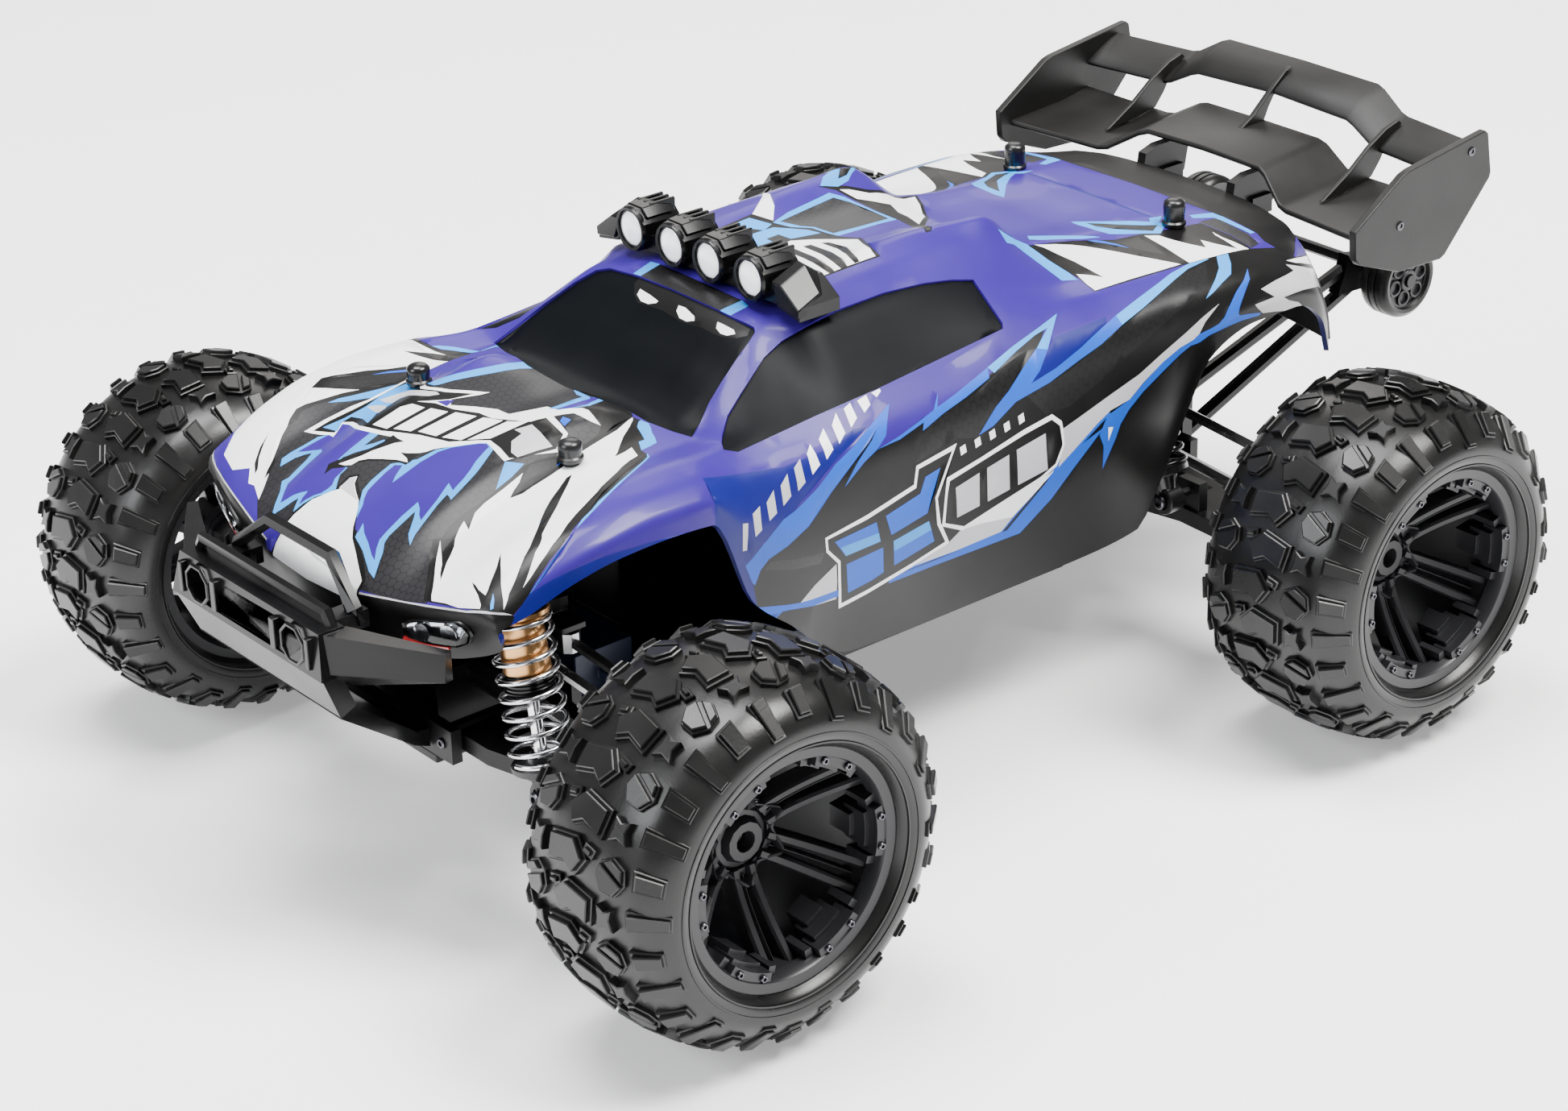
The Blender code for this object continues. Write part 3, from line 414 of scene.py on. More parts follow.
def arc_lengths(line):
    total = [0.0]
    for a, b in zip(line, line[1:]):
        total.append(total[-1] + math.dist(a, b))
    return total


TYRE_ARC = arc_lengths(TYRE_HALF)


def tyre_profile(s):
    """How far from the tyre's centre line arc s is, and its radius."""
    return tuple(float(np.interp(s, TYRE_ARC, [p[k] for p in TYRE_HALF])) for k in (0, 1))


def on_tyre(s, along, height):
    """A point at arc s across the tyre, at that distance along the tread, height above the carcass."""
    x, r = tyre_profile(abs(s))
    x1, r1 = tyre_profile(min(abs(s) + 0.8, TYRE_ARC[-1]))
    x0, r0 = tyre_profile(max(abs(s) - 0.8, 0.0))
    dx, dr = x1 - x0, r1 - r0
    size = math.hypot(dx, dr)
    x += height * (-dr / size)
    r += height * (dx / size)
    angle = along / TREAD_RADIUS
    return Vector((math.copysign(x, s) if s else 0.0, r * math.cos(angle), r * math.sin(angle)))


def inset(outline, amount):
    """The outline moved inwards by amount, mitred."""
    area = sum(a[0] * b[1] - b[0] * a[1] for a, b in zip(outline, outline[1:] + outline[:1]))
    turn = 1 if area > 0 else -1
    result = []
    count = len(outline)
    for i in range(count):
        p, q, r = (Vector(outline[(i + k) % count]).to_2d() for k in (-1, 0, 1))
        a, b = (q - p).normalized(), (r - q).normalized()
        na, nb = Vector((-a.y, a.x)) * turn, Vector((-b.y, b.x)) * turn
        middle = (na + nb).normalized()
        reach = (min(amount / max(0.35, middle.dot(na)), amount * 2.2) if amount > 0
                 else amount / max(0.35, middle.dot(na)))
        result.append(tuple(q + middle * reach))
    return result


def lug(outline, low, high, start):
    """A stepped rubber block standing on the carcass."""
    shapes = [(outline, low, True)]
    if high == "split":
        first, second = outline[:4], outline[3:] + outline[:1]
        shapes += [(inset(first, 0.45), 2.1, False), (inset(second, 0.45), 2.1, False)]
    elif high:
        shapes.append((inset(outline, 0.75), high, False))
    made = []
    for shape, height, ground in shapes:
        floor = -0.4 if ground else low - 0.3
        levels = [(shape, floor), (shape, height - 0.22), (inset(shape, 0.26), height)]
        rings = []
        for ring, level in levels:
            fade = [1.0 - 0.45 * max(0.0, min(1.0, (abs(s) - 21) / 5)) for s, _ in ring]
            rings.append([on_tyre(s, start + a, level * f if level > 0 else level) for (s, a),
                          f in zip(ring, fade)])
        made.append(loft(rings))
    return made


def tyre_mesh():
    sides = 8 * PITCHES
    half = [on_tyre(s, 0, 0) for s in np.linspace(0, TYRE_ARC[-1], 22)]
    profile = [(p.x, p.y) for p in half]
    profile = [(-x, r) for x, r in reversed(profile[1:])] + profile
    profile += [(21.2, 30.0), (21.2, 33.5), (23.0, 35.5), (21.0, 40.5), (-21.0, 40.5), (-23.0, 35.5),
                (-21.2, 33.5),
                (-21.2, 30.0)]
    rings = []
    for i in range(sides):
        a = 2 * math.pi * i / sides
        rings.append([(x, r * math.cos(a), r * math.sin(a)) for x, r in profile])
    parts = [loft(rings, closed=True)]
    for r, x, width in ((34.3, 24.95, 0.42), (31.9, 24.35, 0.35)):
        for side in (-1, 1):
            centre = (side * (x - 0.25), 0, 0)
            ring = [(0, r - width), (0.5, r - width * 0.6), (0.5, r + width * 0.6), (0, r + width)]
            parts.append(turned(centre, (side, 0, 0), ring, 112, closed=True))
    for k in range(PITCHES):
        for outline, low, high in LUG_BLOCKS:
            parts += lug(outline, low, high, k * PITCH)
            across = [(-s, a) for s, a in outline]
            parts += lug(across, low, high, (k + 0.5) * PITCH)
    return merged(parts)


def arc_block(r0, r1, a0, a1, x0, x1, steps=6):
    """A piece of a ring between two radii and two angles, from depth x0 to x1."""
    rings = []
    for i in range(steps + 1):
        a = math.radians(a0 + (a1 - a0) * i / steps)
        c, s = math.cos(a), math.sin(a)
        rings.append([(x0, r0 * c, r0 * s), (x1, r0 * c, r0 * s), (x1, r1 * c, r1 * s),
                      (x0, r1 * c, r1 * s)])
    return loft(rings)


def spoke_bar(angle, offset0, offset1, r0, r1, half, x0, x1, depth):
    """One bar of a spoke from the hub out to the rim: it rises from x0 to x1 and is bevelled along its top."""
    a = math.radians(angle)
    out, across = Vector((0, math.cos(a), math.sin(a))), Vector((0, -math.sin(a), math.cos(a)))
    rings = []
    for i in range(9):
        t = i / 8
        r = r0 + (r1 - r0) * t
        middle = offset0 + (offset1 - offset0) * t
        top = x0 + (x1 - x0) * (t ** 1.35)
        corners = ((-half, top - depth), (-half, top - 0.9), (-half + 0.55, top), (half - 0.55, top),
                   (half, top - 0.9), (half, top - depth))
        rings.append([out * r + across * (middle + w) + Vector((x, 0, 0)) for w, x in corners])
    return loft(rings)


def rim_mesh():
    sides = 96
    parts = []
    # the barrel, its bead flange and the ring's face with a soft outer edge
    barrel = [(-21, 27.6), (-21, 30.9), (-18.4, 30.9), (-17.6, 29.6), (17.8, 29.6), (18.6, 30.6),
              (20.6, 30.9),
              (21.6, 30.5), (22.0, 29.8), (21.7, 27.4), (21.0, 26.9), (17.4, 26.6), (16.4, 27.6)]
    parts.append(turned((0, 0, 0), (1, 0, 0), barrel, sides, closed=True))
    for k in range(6):
        middle = 60 * k
        # the notched bolt pads between the spokes, in steps down into the dish
        parts.append(arc_block(24.9, 27.6, middle - 14, middle + 14, 15.0, 21.3))
        parts.append(arc_block(23.7, 27.6, middle - 10.5, middle + 10.5, 11.4, 18.4))
        parts.append(arc_block(22.4, 27.6, middle - 7, middle + 7, 7.4, 14.6))
        parts.append(arc_block(24.4, 27.6, middle - 20, middle - 15.5, 12.0, 19.4, 2))
        parts.append(arc_block(24.4, 27.6, middle + 15.5, middle + 20, 12.0, 19.4, 2))
        for side in (-1, 1):
            parts.append(spoke_bar(30 + middle, side * 2.3, side * 3.3, 7.2, 27.6, 1.25, 3.6, 16.0, 6.0))
            parts.append(spoke_bar(30 + middle, side * 4.4, side * 0.6, 7.4, 11.0, 0.9, 3.2, 6.0, 4.0))
        parts.append(spoke_bar(30 + middle, 0, 0, 9.0, 27.4, 0.42, 3.0, 13.4, 4.0))
    hub = [(-6.4, 2.6), (-6.4, 8.2), (-1.0, 8.2), (1.6, 8.0), (2.4, 7.2), (2.6, 5.9), (3.6, 5.5),
           (4.6, 4.9),
           (4.6, 2.7), (4.0, 2.4)]
    parts.append(turned((0, 0, 0), (1, 0, 0), hub, 12, closed=True))
    parts.append(turned((0, 0, 0), (1, 0, 0), [(-6, 7.8), (-6, 10.4), (1.8, 10.4), (2.6, 9.8), (2.6, 7.8)],
                        48,
                        closed=True))
    return merged(parts)


def bolt(centre, axis, radius=1.05, height=0.8):
    """A cap-head screw: rounded head with a round socket."""
    centre, along = Vector(centre), Vector(axis).normalized()
    head = [(-0.2, radius), (height * 0.7, radius), (height, radius * 0.8), (height, radius * 0.52),
            (height * 0.35, radius * 0.48)]
    return turned(centre, along, head, 14)


def rim_bolts():
    parts = []
    for k in range(6):
        for shift in (-8.5, 8.5):
            a = math.radians(60 * k + shift)
            parts.append(bolt((21.3, 26.2 * math.cos(a), 26.2 * math.sin(a)), (1, 0, 0), 0.95, 0.75))
        a = math.radians(60 * k)
        parts.append(bolt((2.5, 8.9 * math.cos(a), 8.9 * math.sin(a)), (1, 0, 0), 0.62, 0.55))
    return merged(parts)


def hex_axle():
    """Stub axle, drive hexagon and a ring seen in the rim's middle."""
    parts = [turned((-12.0, 0, 0), (1, 0, 0), [(0, 6.4), (0.6, 6.9), (5.0, 6.9), (5.6, 6.4)], 6)]
    parts.append(turned((-26.0, 0, 0), (1, 0, 0), [(0, 3.2), (6.2, 3.4), (6.2, 2.3), (26.0, 2.1),
                                                   (27.2, 1.6)], 24))
    parts.append(turned((-20.2, 0, 0), (1, 0, 0), [(0, 3.4), (0, 5.0), (1.2, 5.0), (1.2, 3.4)], 24,
                        closed=True))
    return merged(parts)


def wheels():
    parts = {"tyre": tyre_mesh(), "rim": rim_mesh(), "bolts": rim_bolts(), "axle": hex_axle()}
    for tag, side, at in CORNERS:
        body = f"wheel_{tag}"
        centre = Matrix.Translation((side * WHEEL_X, at, AXLE_Z))
        spin = Matrix.Rotation(math.radians({"fl": 4, "fr": -9, "rl": 13, "rr": 2}[tag]), 4, "X")
        for kind, look, slot in (("tyre", RUBBER, "tyre_rubber"), ("rim", RIM, "rim_plastic"),
                                 ("bolts", SCREW, "steel"), ("axle", STEEL, "steel")):
            shape = mirrored(parts[kind], side)
            turn = spin if kind == "tyre" else Matrix.Identity(4)
            points, faces = moved(shape, centre @ turn)
            name = f"{kind}_{tag}_fine"
            bevel = 0.22 if kind == "rim" else 0.0
            made = piece(name, points, faces, look, body, bevel=bevel, segments=2, angle=36)
            if kind != "bolts":
                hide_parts(f"{kind}_{tag}")


# Coil-over shocks


def shocks():
    for tag, side, at in CORNERS:
        (x0, z0), (x1, z1) = SHOCKS[tag[0]]
        y = at + SHOCK_Y
        top = Vector((side * x0, y, z0))
        down = Vector((side * (x1 - x0), 0, z1 - z0))
        reach = down.length
        down.normalize()
        turn = down.to_track_quat("Z", "Y").to_matrix()
        eye = top + down * reach
        seat = reach - 9.0
        upper, lower = f"shock_body_{tag}", f"shock_shaft_{tag}"
        profile = [(2.4, 3.2), (3.0, 4.6), (5.6, 5.2), (6.0, 7.2), (6.4, 7.6), (7.4, 7.6), (7.8, 7.2),
                   (7.8, 5.5)]
        profile += [(14.0, 5.6), (21.4, 5.75), (21.8, 5.4)]
        parts = [turned(top, down, profile, 36)]
        parts += [rod(top - Vector((0, 2.7, 0)), top + Vector((0, 2.7, 0)), 3.5, 24)]
        ridges = []
        for i in range(20):
            a = 2 * math.pi * i / 20
            foot = top + turn @ Vector((5.35 * math.cos(a), 5.35 * math.sin(a), 3.2))
            ridges.append(rod(foot, foot + down * 2.6, 0.42, 6))
        points, faces = merged(parts + ridges)
        look = GOLD if tag[0] == "f" else GLOSS
        body = piece(f"shock_body_{tag}_fine", points, faces, look, upper, angle=30)
        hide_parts(f"shock_body_{tag}")
        collar = [(21.6, 2.2), (21.6, 5.9)]
        for i in range(5):
            d = 22.0 + i * 0.95
            collar += [(d, 6.1), (d + 0.35, 6.1), (d + 0.45, 5.6), (d + 0.8, 5.6)]
        collar += [(26.6, 5.7), (27.0, 5.0), (27.0, 1.9), (26.0, 1.9)]
        points, faces = turned(top, down, collar, 36, closed=True)
        piece(f"shock_collar_{tag}", points, faces, GLOSS, upper, angle=30)

        points, faces = turned(top, down, [(15.5, 1.2), (15.9, 1.6), (seat + 0.5, 1.6), (seat + 0.6, 1.2)],
                               24)
        shaft = piece(f"shock_shaft_{tag}_fine", points, faces, CHROME, lower)
        cup = [(seat - 1.6, 1.7), (seat - 1.6, 3.4), (seat, 3.8), (seat, 7.2), (seat + 0.4, 7.6),
               (seat + 1.7, 7.6),
               (seat + 2.2, 7.1), (seat + 2.6, 4.2), (reach - 2.6, 3.0), (reach - 1.5, 2.8)]
        parts = [turned(top, down, cup, 36)]
        ring = turned(eye - Vector((0, 2.8, 0)), (0, 1, 0),
                      [(0, 2.5), (0, 3.6), (0.4, 3.9), (5.2, 3.9), (5.6, 3.6), (5.6, 2.5)], 28,
                      closed=True)
        points, faces = merged(parts + [ring])
        cup = piece(f"shock_cup_{tag}", points, faces, CAP, lower, angle=30)
        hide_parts(f"shock_shaft_{tag}")
        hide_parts(f"shock_shaft_{tag}")

        turns, radius, wire = 8.5, 7.35, 0.68
        first, last = 8.1 + wire, seat - wire - 0.1
        path = []
        for i in range(int(turns * 26) + 1):
            t = i / (turns * 26)
            a = 2 * math.pi * turns * t
            depth = first + (last - first) * min(1.0, max(0.0, (t - 0.05) / 0.90))
            path.append(top + turn @ Vector((radius * math.cos(a), radius * math.sin(a), depth)))
        points, faces = tube(path, wire, 8)
        look = CHROME if tag[0] == "f" else GLOSS
        coil = piece(f"spring_{tag}_fine", points, faces, look, None, angle=60)
        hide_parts(f"spring_{tag}")
        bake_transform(coil)


# The shell: half cross-sections from nose to tail, as (y, sweep at full width, points (x, z) from the
# centre to the hem). Columns: centre, two crown ridges, screen and roof edge, drip line, belt line,
# shoulder, flank, hem.

SECTIONS = [
    (-147, 13, [(0, 76), (12, 76), (23, 76), (32, 77), (41, 78.5), (50, 80.5), (57, 83), (61, 85),
                (62, 86)]),
    (-148.5, 13, [(0, 87), (12, 87), (23, 87.5), (32, 88.5), (41, 90), (50, 92), (57, 93.5), (61.5, 93),
                  (62.5, 90.5)]),
    (-138, 10, [(0, 97), (12, 97), (23, 97.5), (32, 96), (41, 97), (50, 100), (57.5, 100.3), (62.5, 98),
                (63.5, 93)]),
    (-123, 6, [(0, 103), (12, 104), (23, 105), (32, 102), (41, 103), (50.5, 106), (58.5, 105.8),
               (64, 102.5), (65, 97.5)]),
    (-108, 3, [(0, 108), (12, 109), (23, 110), (32, 106.5), (41, 106.5), (51, 109), (60, 108.5),
               (65, 105.5), (66.5, 100.5)]),
    (-92, 0, [(0, 111), (12, 112.5), (23, 113.5), (32, 109.5), (41, 109), (52, 111), (60, 110), (65, 106.5),
              (66.5, 101)]),
    (-77, 0, [(0, 113), (12, 115), (24, 116), (33, 111), (42, 110), (52, 111.5), (60, 109.5), (65, 106),
              (66, 100)]),
    (-63, 0, [(0, 112.5), (12, 112.5), (24, 112), (33, 111.5), (41, 109.8), (51.5, 110.8), (60, 106),
              (65, 94), (63, 74)]),
    (-48, 0, [(0, 121.5), (12, 121.3), (23, 120.6), (31, 119.6), (37, 118.6), (51.8, 111.8), (62, 104),
              (65.5, 88), (59.5, 61)]),
    (-34.5, 0, [(0, 130), (11, 129.8), (21, 129), (28, 128.2), (32.5, 127.1), (52.3, 112.6), (62.5, 104),
                (65.5, 86), (54, 49)]),
    (-22, 0, [(0, 131.3), (11, 131.3), (22, 130.8), (31, 129.8), (39.5, 127.6), (52.8, 113.6), (63, 104),
              (65.5, 84), (51, 42)]),
    (5, 0, [(0, 131), (11, 131.5), (22, 134), (31, 132.6), (39.8, 128), (52.6, 115.6), (63, 105),
            (65.5, 82), (51, 41.5)]),
    (28, 0, [(0, 130.6), (11, 131), (23.5, 136), (31, 133), (40.4, 126.4), (52, 118), (63, 107), (65.5, 82),
             (51, 41.5)]),
    (44, 0, [(0, 128.5), (12, 128.5), (26.5, 136), (32, 130), (42, 121), (52, 117), (63, 108.5), (65.5, 83),
             (51, 41.5)]),
    (62, 0, [(0, 121.5), (12, 121.5), (25, 123.5), (32, 120.5), (42, 117.5), (52, 116.5), (63, 110),
             (66, 88), (51.5, 42)]),
    (79, 0, [(0, 119.5), (12, 119.5), (24, 120.5), (32, 118.5), (42, 117), (52, 116.8), (63, 111.5),
             (66, 96), (52, 44)]),
    (90, 0, [(0, 118.5), (12, 118.5), (24, 119.5), (32, 117.8), (42, 117), (52, 116.8), (63, 112.5),
             (66.5, 103), (66, 94.5)]),
    (108, 0, [(0, 118), (12, 118), (24, 118.3), (32, 117), (42, 116.8), (52, 116.4), (62.5, 112.5),
              (66.5, 105.5), (66, 100.5)]),
    (124, -1, [(0, 117), (12, 117), (24, 117), (32, 116.3), (42, 115.6), (52, 114.5), (61, 110.5),
               (66, 104.5), (66, 100.5)]),
    (137, -3, [(0, 115.5), (12, 115.5), (24, 115.3), (32, 114.8), (42, 113.5), (51, 111), (59, 106.5),
               (64.5, 100), (65, 94)]),
    (147.5, -8, [(0, 114), (12, 114), (24, 113.8), (32, 113.4), (42, 112), (49, 108), (56, 101.5),
                 (61.5, 92), (63, 82)]),
]
ROUNDING = [0.0, 0.30, 0.22, 0.22, 0.20, 0.22, 0.34, 0.30,
            0.0]  # of the way to the next column, at each one


def monotone_slopes(t, p):
    """Slopes for a cubic through points p at t that never overshoots them."""
    h = np.diff(t)[:, None]
    d = np.diff(p, axis=0) / h
    m = np.zeros_like(p)
    w0, w1 = 2 * h[1:] + h[:-1], h[1:] + 2 * h[:-1]
    with np.errstate(divide="ignore", invalid="ignore"):
        inner = (w0 + w1) / (w0 / d[:-1] + w1 / d[1:])
    m[1:-1] = np.where(d[:-1] * d[1:] > 0, inner, 0.0)
    m[0], m[-1] = d[0], d[-1]
    return m


class Sheet:
    """The shell's outer surface over flat coordinates in mm: U from the centre line and V from the nose."""

    def __init__(self):
        rows = [[(x, y + sweep * (x / 66) ** 2, z) for x, z in half] for y, sweep, half in SECTIONS]
        self.points = np.array(rows, float)
        self.v = np.append(0.0, np.cumsum(np.linalg.norm(np.diff(self.points, axis=0), axis=2).mean(1)))
        self.u = np.append(0.0, np.cumsum(np.linalg.norm(np.diff(self.points, axis=1), axis=2).mean(0)))
        flat = self.points.reshape(len(self.v), -1)
        self.slopes = monotone_slopes(self.v, flat).reshape(self.points.shape)

    def column(self, k, v):
        i = np.clip(np.searchsorted(self.v, v, side="right") - 1, 0, len(self.v) - 2)
        h = self.v[i + 1] - self.v[i]
        t = ((v - self.v[i]) / h)[:, None]
        h = h[:, None]
        a, b = self.points[i, k], self.points[i + 1, k]
        ma, mb = self.slopes[i, k], self.slopes[i + 1, k]
        return ((1 + 2 * t) * (1 - t) ** 2 * a + t * (1 - t) ** 2 * h * ma
                + t * t * (3 - 2 * t) * b + t * t * (t - 1) * h * mb)

    def at(self, u, v):
        """Points on the outer surface, in millimetres."""
        u, v = np.atleast_1d(np.asarray(u, float)), np.atleast_1d(np.asarray(v, float))
        side = np.where(u < 0, -1.0, 1.0)
        u = np.clip(np.abs(u), 0, self.u[-1] - 1e-6)
        v = np.clip(v, 0, self.v[-1])
        columns = np.stack([self.column(k, v) for k in range(len(self.u))], 1)
        i = np.clip(np.searchsorted(self.u, u, side="right") - 1, 0, len(self.u) - 2)
        f = (u - self.u[i]) / (self.u[i + 1] - self.u[i])
        near = np.where(f < 0.5, i, i + 1)
        rho = np.array(ROUNDING)[near]
        pick = np.arange(len(u))
        here = columns[pick, near]
        before = columns[pick, np.maximum(near - 1, 0)]
        after = columns[pick, np.minimum(near + 1, len(self.u) - 1)]
        offset = np.where(near == i, f, f - 1)
        straight = columns[pick, i] * (1 - f)[:, None] + columns[pick, i + 1] * f[:, None]
        t = np.clip((offset + rho) / np.maximum(2 * rho, 1e-9), 0, 1)[:, None]
        r = rho[:, None]
        a, b = here + r * (before - here), here + r * (after - here)
        bent = (1 - t) ** 2 * a + 2 * t * (1 - t) * here + t * t * b
        out = np.where((np.abs(offset) < rho)[:, None], bent, straight)
        out[:, 0] *= side
        return out

    def normal(self, u, v, step=0.35):
        du = self.at(u + step, v) - self.at(u - step, v)
        dv = self.at(u, v + step) - self.at(u, v - step)
        n = np.cross(du, dv)
        return n / np.maximum(np.linalg.norm(n, axis=1)[:, None], 1e-9)


SHEET = Sheet()
WINDOW_DEPTH = 0.7
SHELL_WALL = 1.4


def in_polygon(points, polygon):
    """Which points lie inside, by the even-odd rule."""
    x, y = points[:, 0], points[:, 1]
    inside = np.zeros(len(points), bool)
    for (x0, y0), (x1, y1) in zip(polygon, polygon[1:] + polygon[:1]):
        if y0 == y1:
            continue
        crosses = ((y0 > y) != (y1 > y)) & (x < (x1 - x0) * (y - y0) / (y1 - y0) + x0)
        inside ^= crosses
    return inside


def sheet_lines():
    """Where the shell's mesh lines run: close together round each character line."""
    us = set()
    widths = np.diff(SHEET.u)
    for k, rho in enumerate(ROUNDING):
        us.add(SHEET.u[k])
        for share in (-1.0, -0.5, 0.5, 1.0):
            width = widths[min(k, len(widths) - 1)] if share > 0 else widths[max(k - 1, 0)]
            u = SHEET.u[k] + share * rho * width
            if 0 < u < SHEET.u[-1]:
                us.add(u)
    for a, b in zip(SHEET.u[:-1], SHEET.u[1:]):
        us.add((a + b) / 2)
    half = sorted(us)
    across = [-u for u in reversed(half[1:])] + half
    along = []
    for a, b in zip(SHEET.v[:-1], SHEET.v[1:]):
        count = max(3, math.ceil((b - a) / 3.0))
        along += [a + (b - a) * i / count for i in range(count)]
    return across, along + [SHEET.v[-1]]


def snapped(u, v, side, tail):
    """A point moved onto the sheet's border when it lies within half a millimetre of it."""
    u = math.copysign(side, u) if abs(u) > side - 0.5 else u
    return u, tail if v > tail - 0.5 else max(v, 0.0)


def both_sides(shapes):
    """The shapes with their mirror images: each is (material index, polygon, mirrored)."""
    result = []
    for look, polygon, mirror in shapes:
        result.append((look, polygon))
        if mirror:
            result.append((look, [(-u, v) for u, v in reversed(polygon)]))
    return result


def shell(looks, shapes, windows):
    across, along = sheet_lines()
    layers = both_sides(shapes)
    panes = both_sides(windows)
    points = [(u, v) for u in across for v in along]
    edges = []
    for _, polygon in layers + panes:
        start = len(points)
        points += [snapped(u, v, across[-1], along[-1]) for u, v in polygon]
        edges += [(start + i, start + (i + 1) % len(polygon)) for i in range(len(polygon))]
    flat, _, triangles, *_ = delaunay_2d_cdt([Vector(p) for p in points], edges, [], 0, 1e-4, False)
    flat = np.array([tuple(p) for p in flat])
    triangles = np.array([tuple(t) for t in triangles])
    corners = flat[triangles]
    area = np.cross(corners[:, 1] - corners[:, 0], corners[:, 2] - corners[:, 0])
    triangles = triangles[np.abs(area) > 1e-7]
    middle = flat[triangles].mean(1)
    index = np.zeros(len(triangles), int)
    for look, polygon in layers:
        index[in_polygon(middle, polygon)] = look
    sunk = np.zeros(len(triangles), bool)
    for look, polygon in panes:
        inside = in_polygon(middle, polygon)
        index[inside] = look
        sunk |= inside
    outer = SHEET.at(flat[:, 0], flat[:, 1])
    normals = SHEET.normal(flat[:, 0], flat[:, 1])
    total = len(flat)
    points = np.concatenate([outer, outer - normals * WINDOW_DEPTH])
    faces = [tuple(t + total) if low else tuple(t) for t, low in zip(triangles, sunk)]
    index = list(index)
    coords = np.concatenate([flat, flat])
    # the step down to each window
    seen = {}
    for t, low in zip(triangles, sunk):
        for a, b in ((t[0], t[1]), (t[1], t[2]), (t[2], t[0])):
            seen.setdefault((min(a, b), max(a, b)), []).append(low)
    for (a, b), lows in seen.items():
        if len(lows) == 2 and lows[0] != lows[1]:
            faces.append((a, b, b + total, a + total))
            index.append(0)
    # the inside, and the rim all round
    base = len(points)
    grid = np.array([(u, v) for u in across for v in along])
    inner = SHEET.at(grid[:, 0], grid[:, 1]) - SHEET.normal(grid[:, 0], grid[:, 1]) * SHELL_WALL
    rim = SHEET.at(grid[:, 0], grid[:, 1])
    points = np.concatenate([points, inner, rim])
    coords = np.concatenate([coords, grid, grid])
    rows, columns = len(across), len(along)
    for i in range(rows - 1):
        for j in range(columns - 1):
            a = base + i * columns + j
            faces.append((a, a + 1, a + columns + 1, a + columns))
            index.append(INSIDE)
    border = [(i, 0) for i in range(rows)] + [(rows - 1, j) for j in range(1, columns)]
    border += ([(i, columns - 1) for i in range(rows - 2, -1, -1)]
               + [(0, j) for j in range(columns - 2, 0, -1)])
    for (i, j), (k, m) in zip(border, border[1:] + border[:1]):
        a, b = base + i * columns + j, base + k * columns + m
        faces.append((a, b, b + rows * columns, a + rows * columns))
        index.append(RIM_DARK if SHEET.v[9] < along[j] < SHEET.v[15] or j in (0, columns - 1) else DEEP_BLUE_AND_SHADE)
    mesh = bpy.data.meshes.new("body_shell_fine")
    mesh.from_pydata([tuple(p) for p in points], [], faces)
    for look in looks:
        mesh.materials.append(look)
    mesh.polygons.foreach_set("material_index", index)
    layer = mesh.uv_layers.new(name="Sheet")
    corners = np.empty(len(mesh.loops), np.int32)
    mesh.loops.foreach_get("vertex_index", corners)
    layer.data.foreach_set("uv", (coords[corners] / 10.0).astype(np.float32).ravel())
    form = bmesh.new()
    form.from_mesh(mesh)
    bmesh.ops.remove_doubles(form, verts=form.verts, dist=0.002)
    bmesh.ops.recalc_face_normals(form, faces=form.faces)
    form.to_mesh(mesh)
    form.free()
    obj = bpy.data.objects.new("body_shell_fine", mesh)
    bpy.context.scene.collection.objects.link(obj)
    finish(obj, 0.0, angle=42)
    place(obj, "frame")
    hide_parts("body_shell")
    return obj


LOOKS = [PURPLE, NAVY, WHITE, SILVER, CYAN, BLUE, INK, HEX, HEXDARK, GLASS, DARK]
(PAINT, DEEP_BLUE_AND_SHADE, BRIGHT, GREY, SKY, AZURE, COAL, COMB, COMB_DARK, PANE, INSIDE) = range(11)
RIM_DARK = COAL


# Fittings on the shell


def on_shell(u, v, lift=0.0):
    p = SHEET.at(u, v)[0]
    return Vector(p + SHEET.normal(u, v)[0] * lift)


def post_caps():
    for name, x, y, z, height in (("front_l", 31.7, -92.3, 110.2, 5.4),
                                  ("front_r", -31.7, -92.3, 110.2, 5.4),
                                  ("rear_l", 31.3, 111.3, 117.2, 7.6),
                                  ("rear_r", -31.3, 111.3, 117.2, 7.6)):
        profile = [(0, 3.0), (0.5, 3.3), (1.1, 3.3), (1.5, 2.8), (height - 2.2, 3.0), (height - 1.0, 2.9),
                   (height - 0.35, 2.2), (height, 1.1)]
        points, faces = turned((x, y, z), (0, 0, 1), profile, 28)
        piece(f"post_cap_{name}", points, faces, CAP, "frame", angle=50)


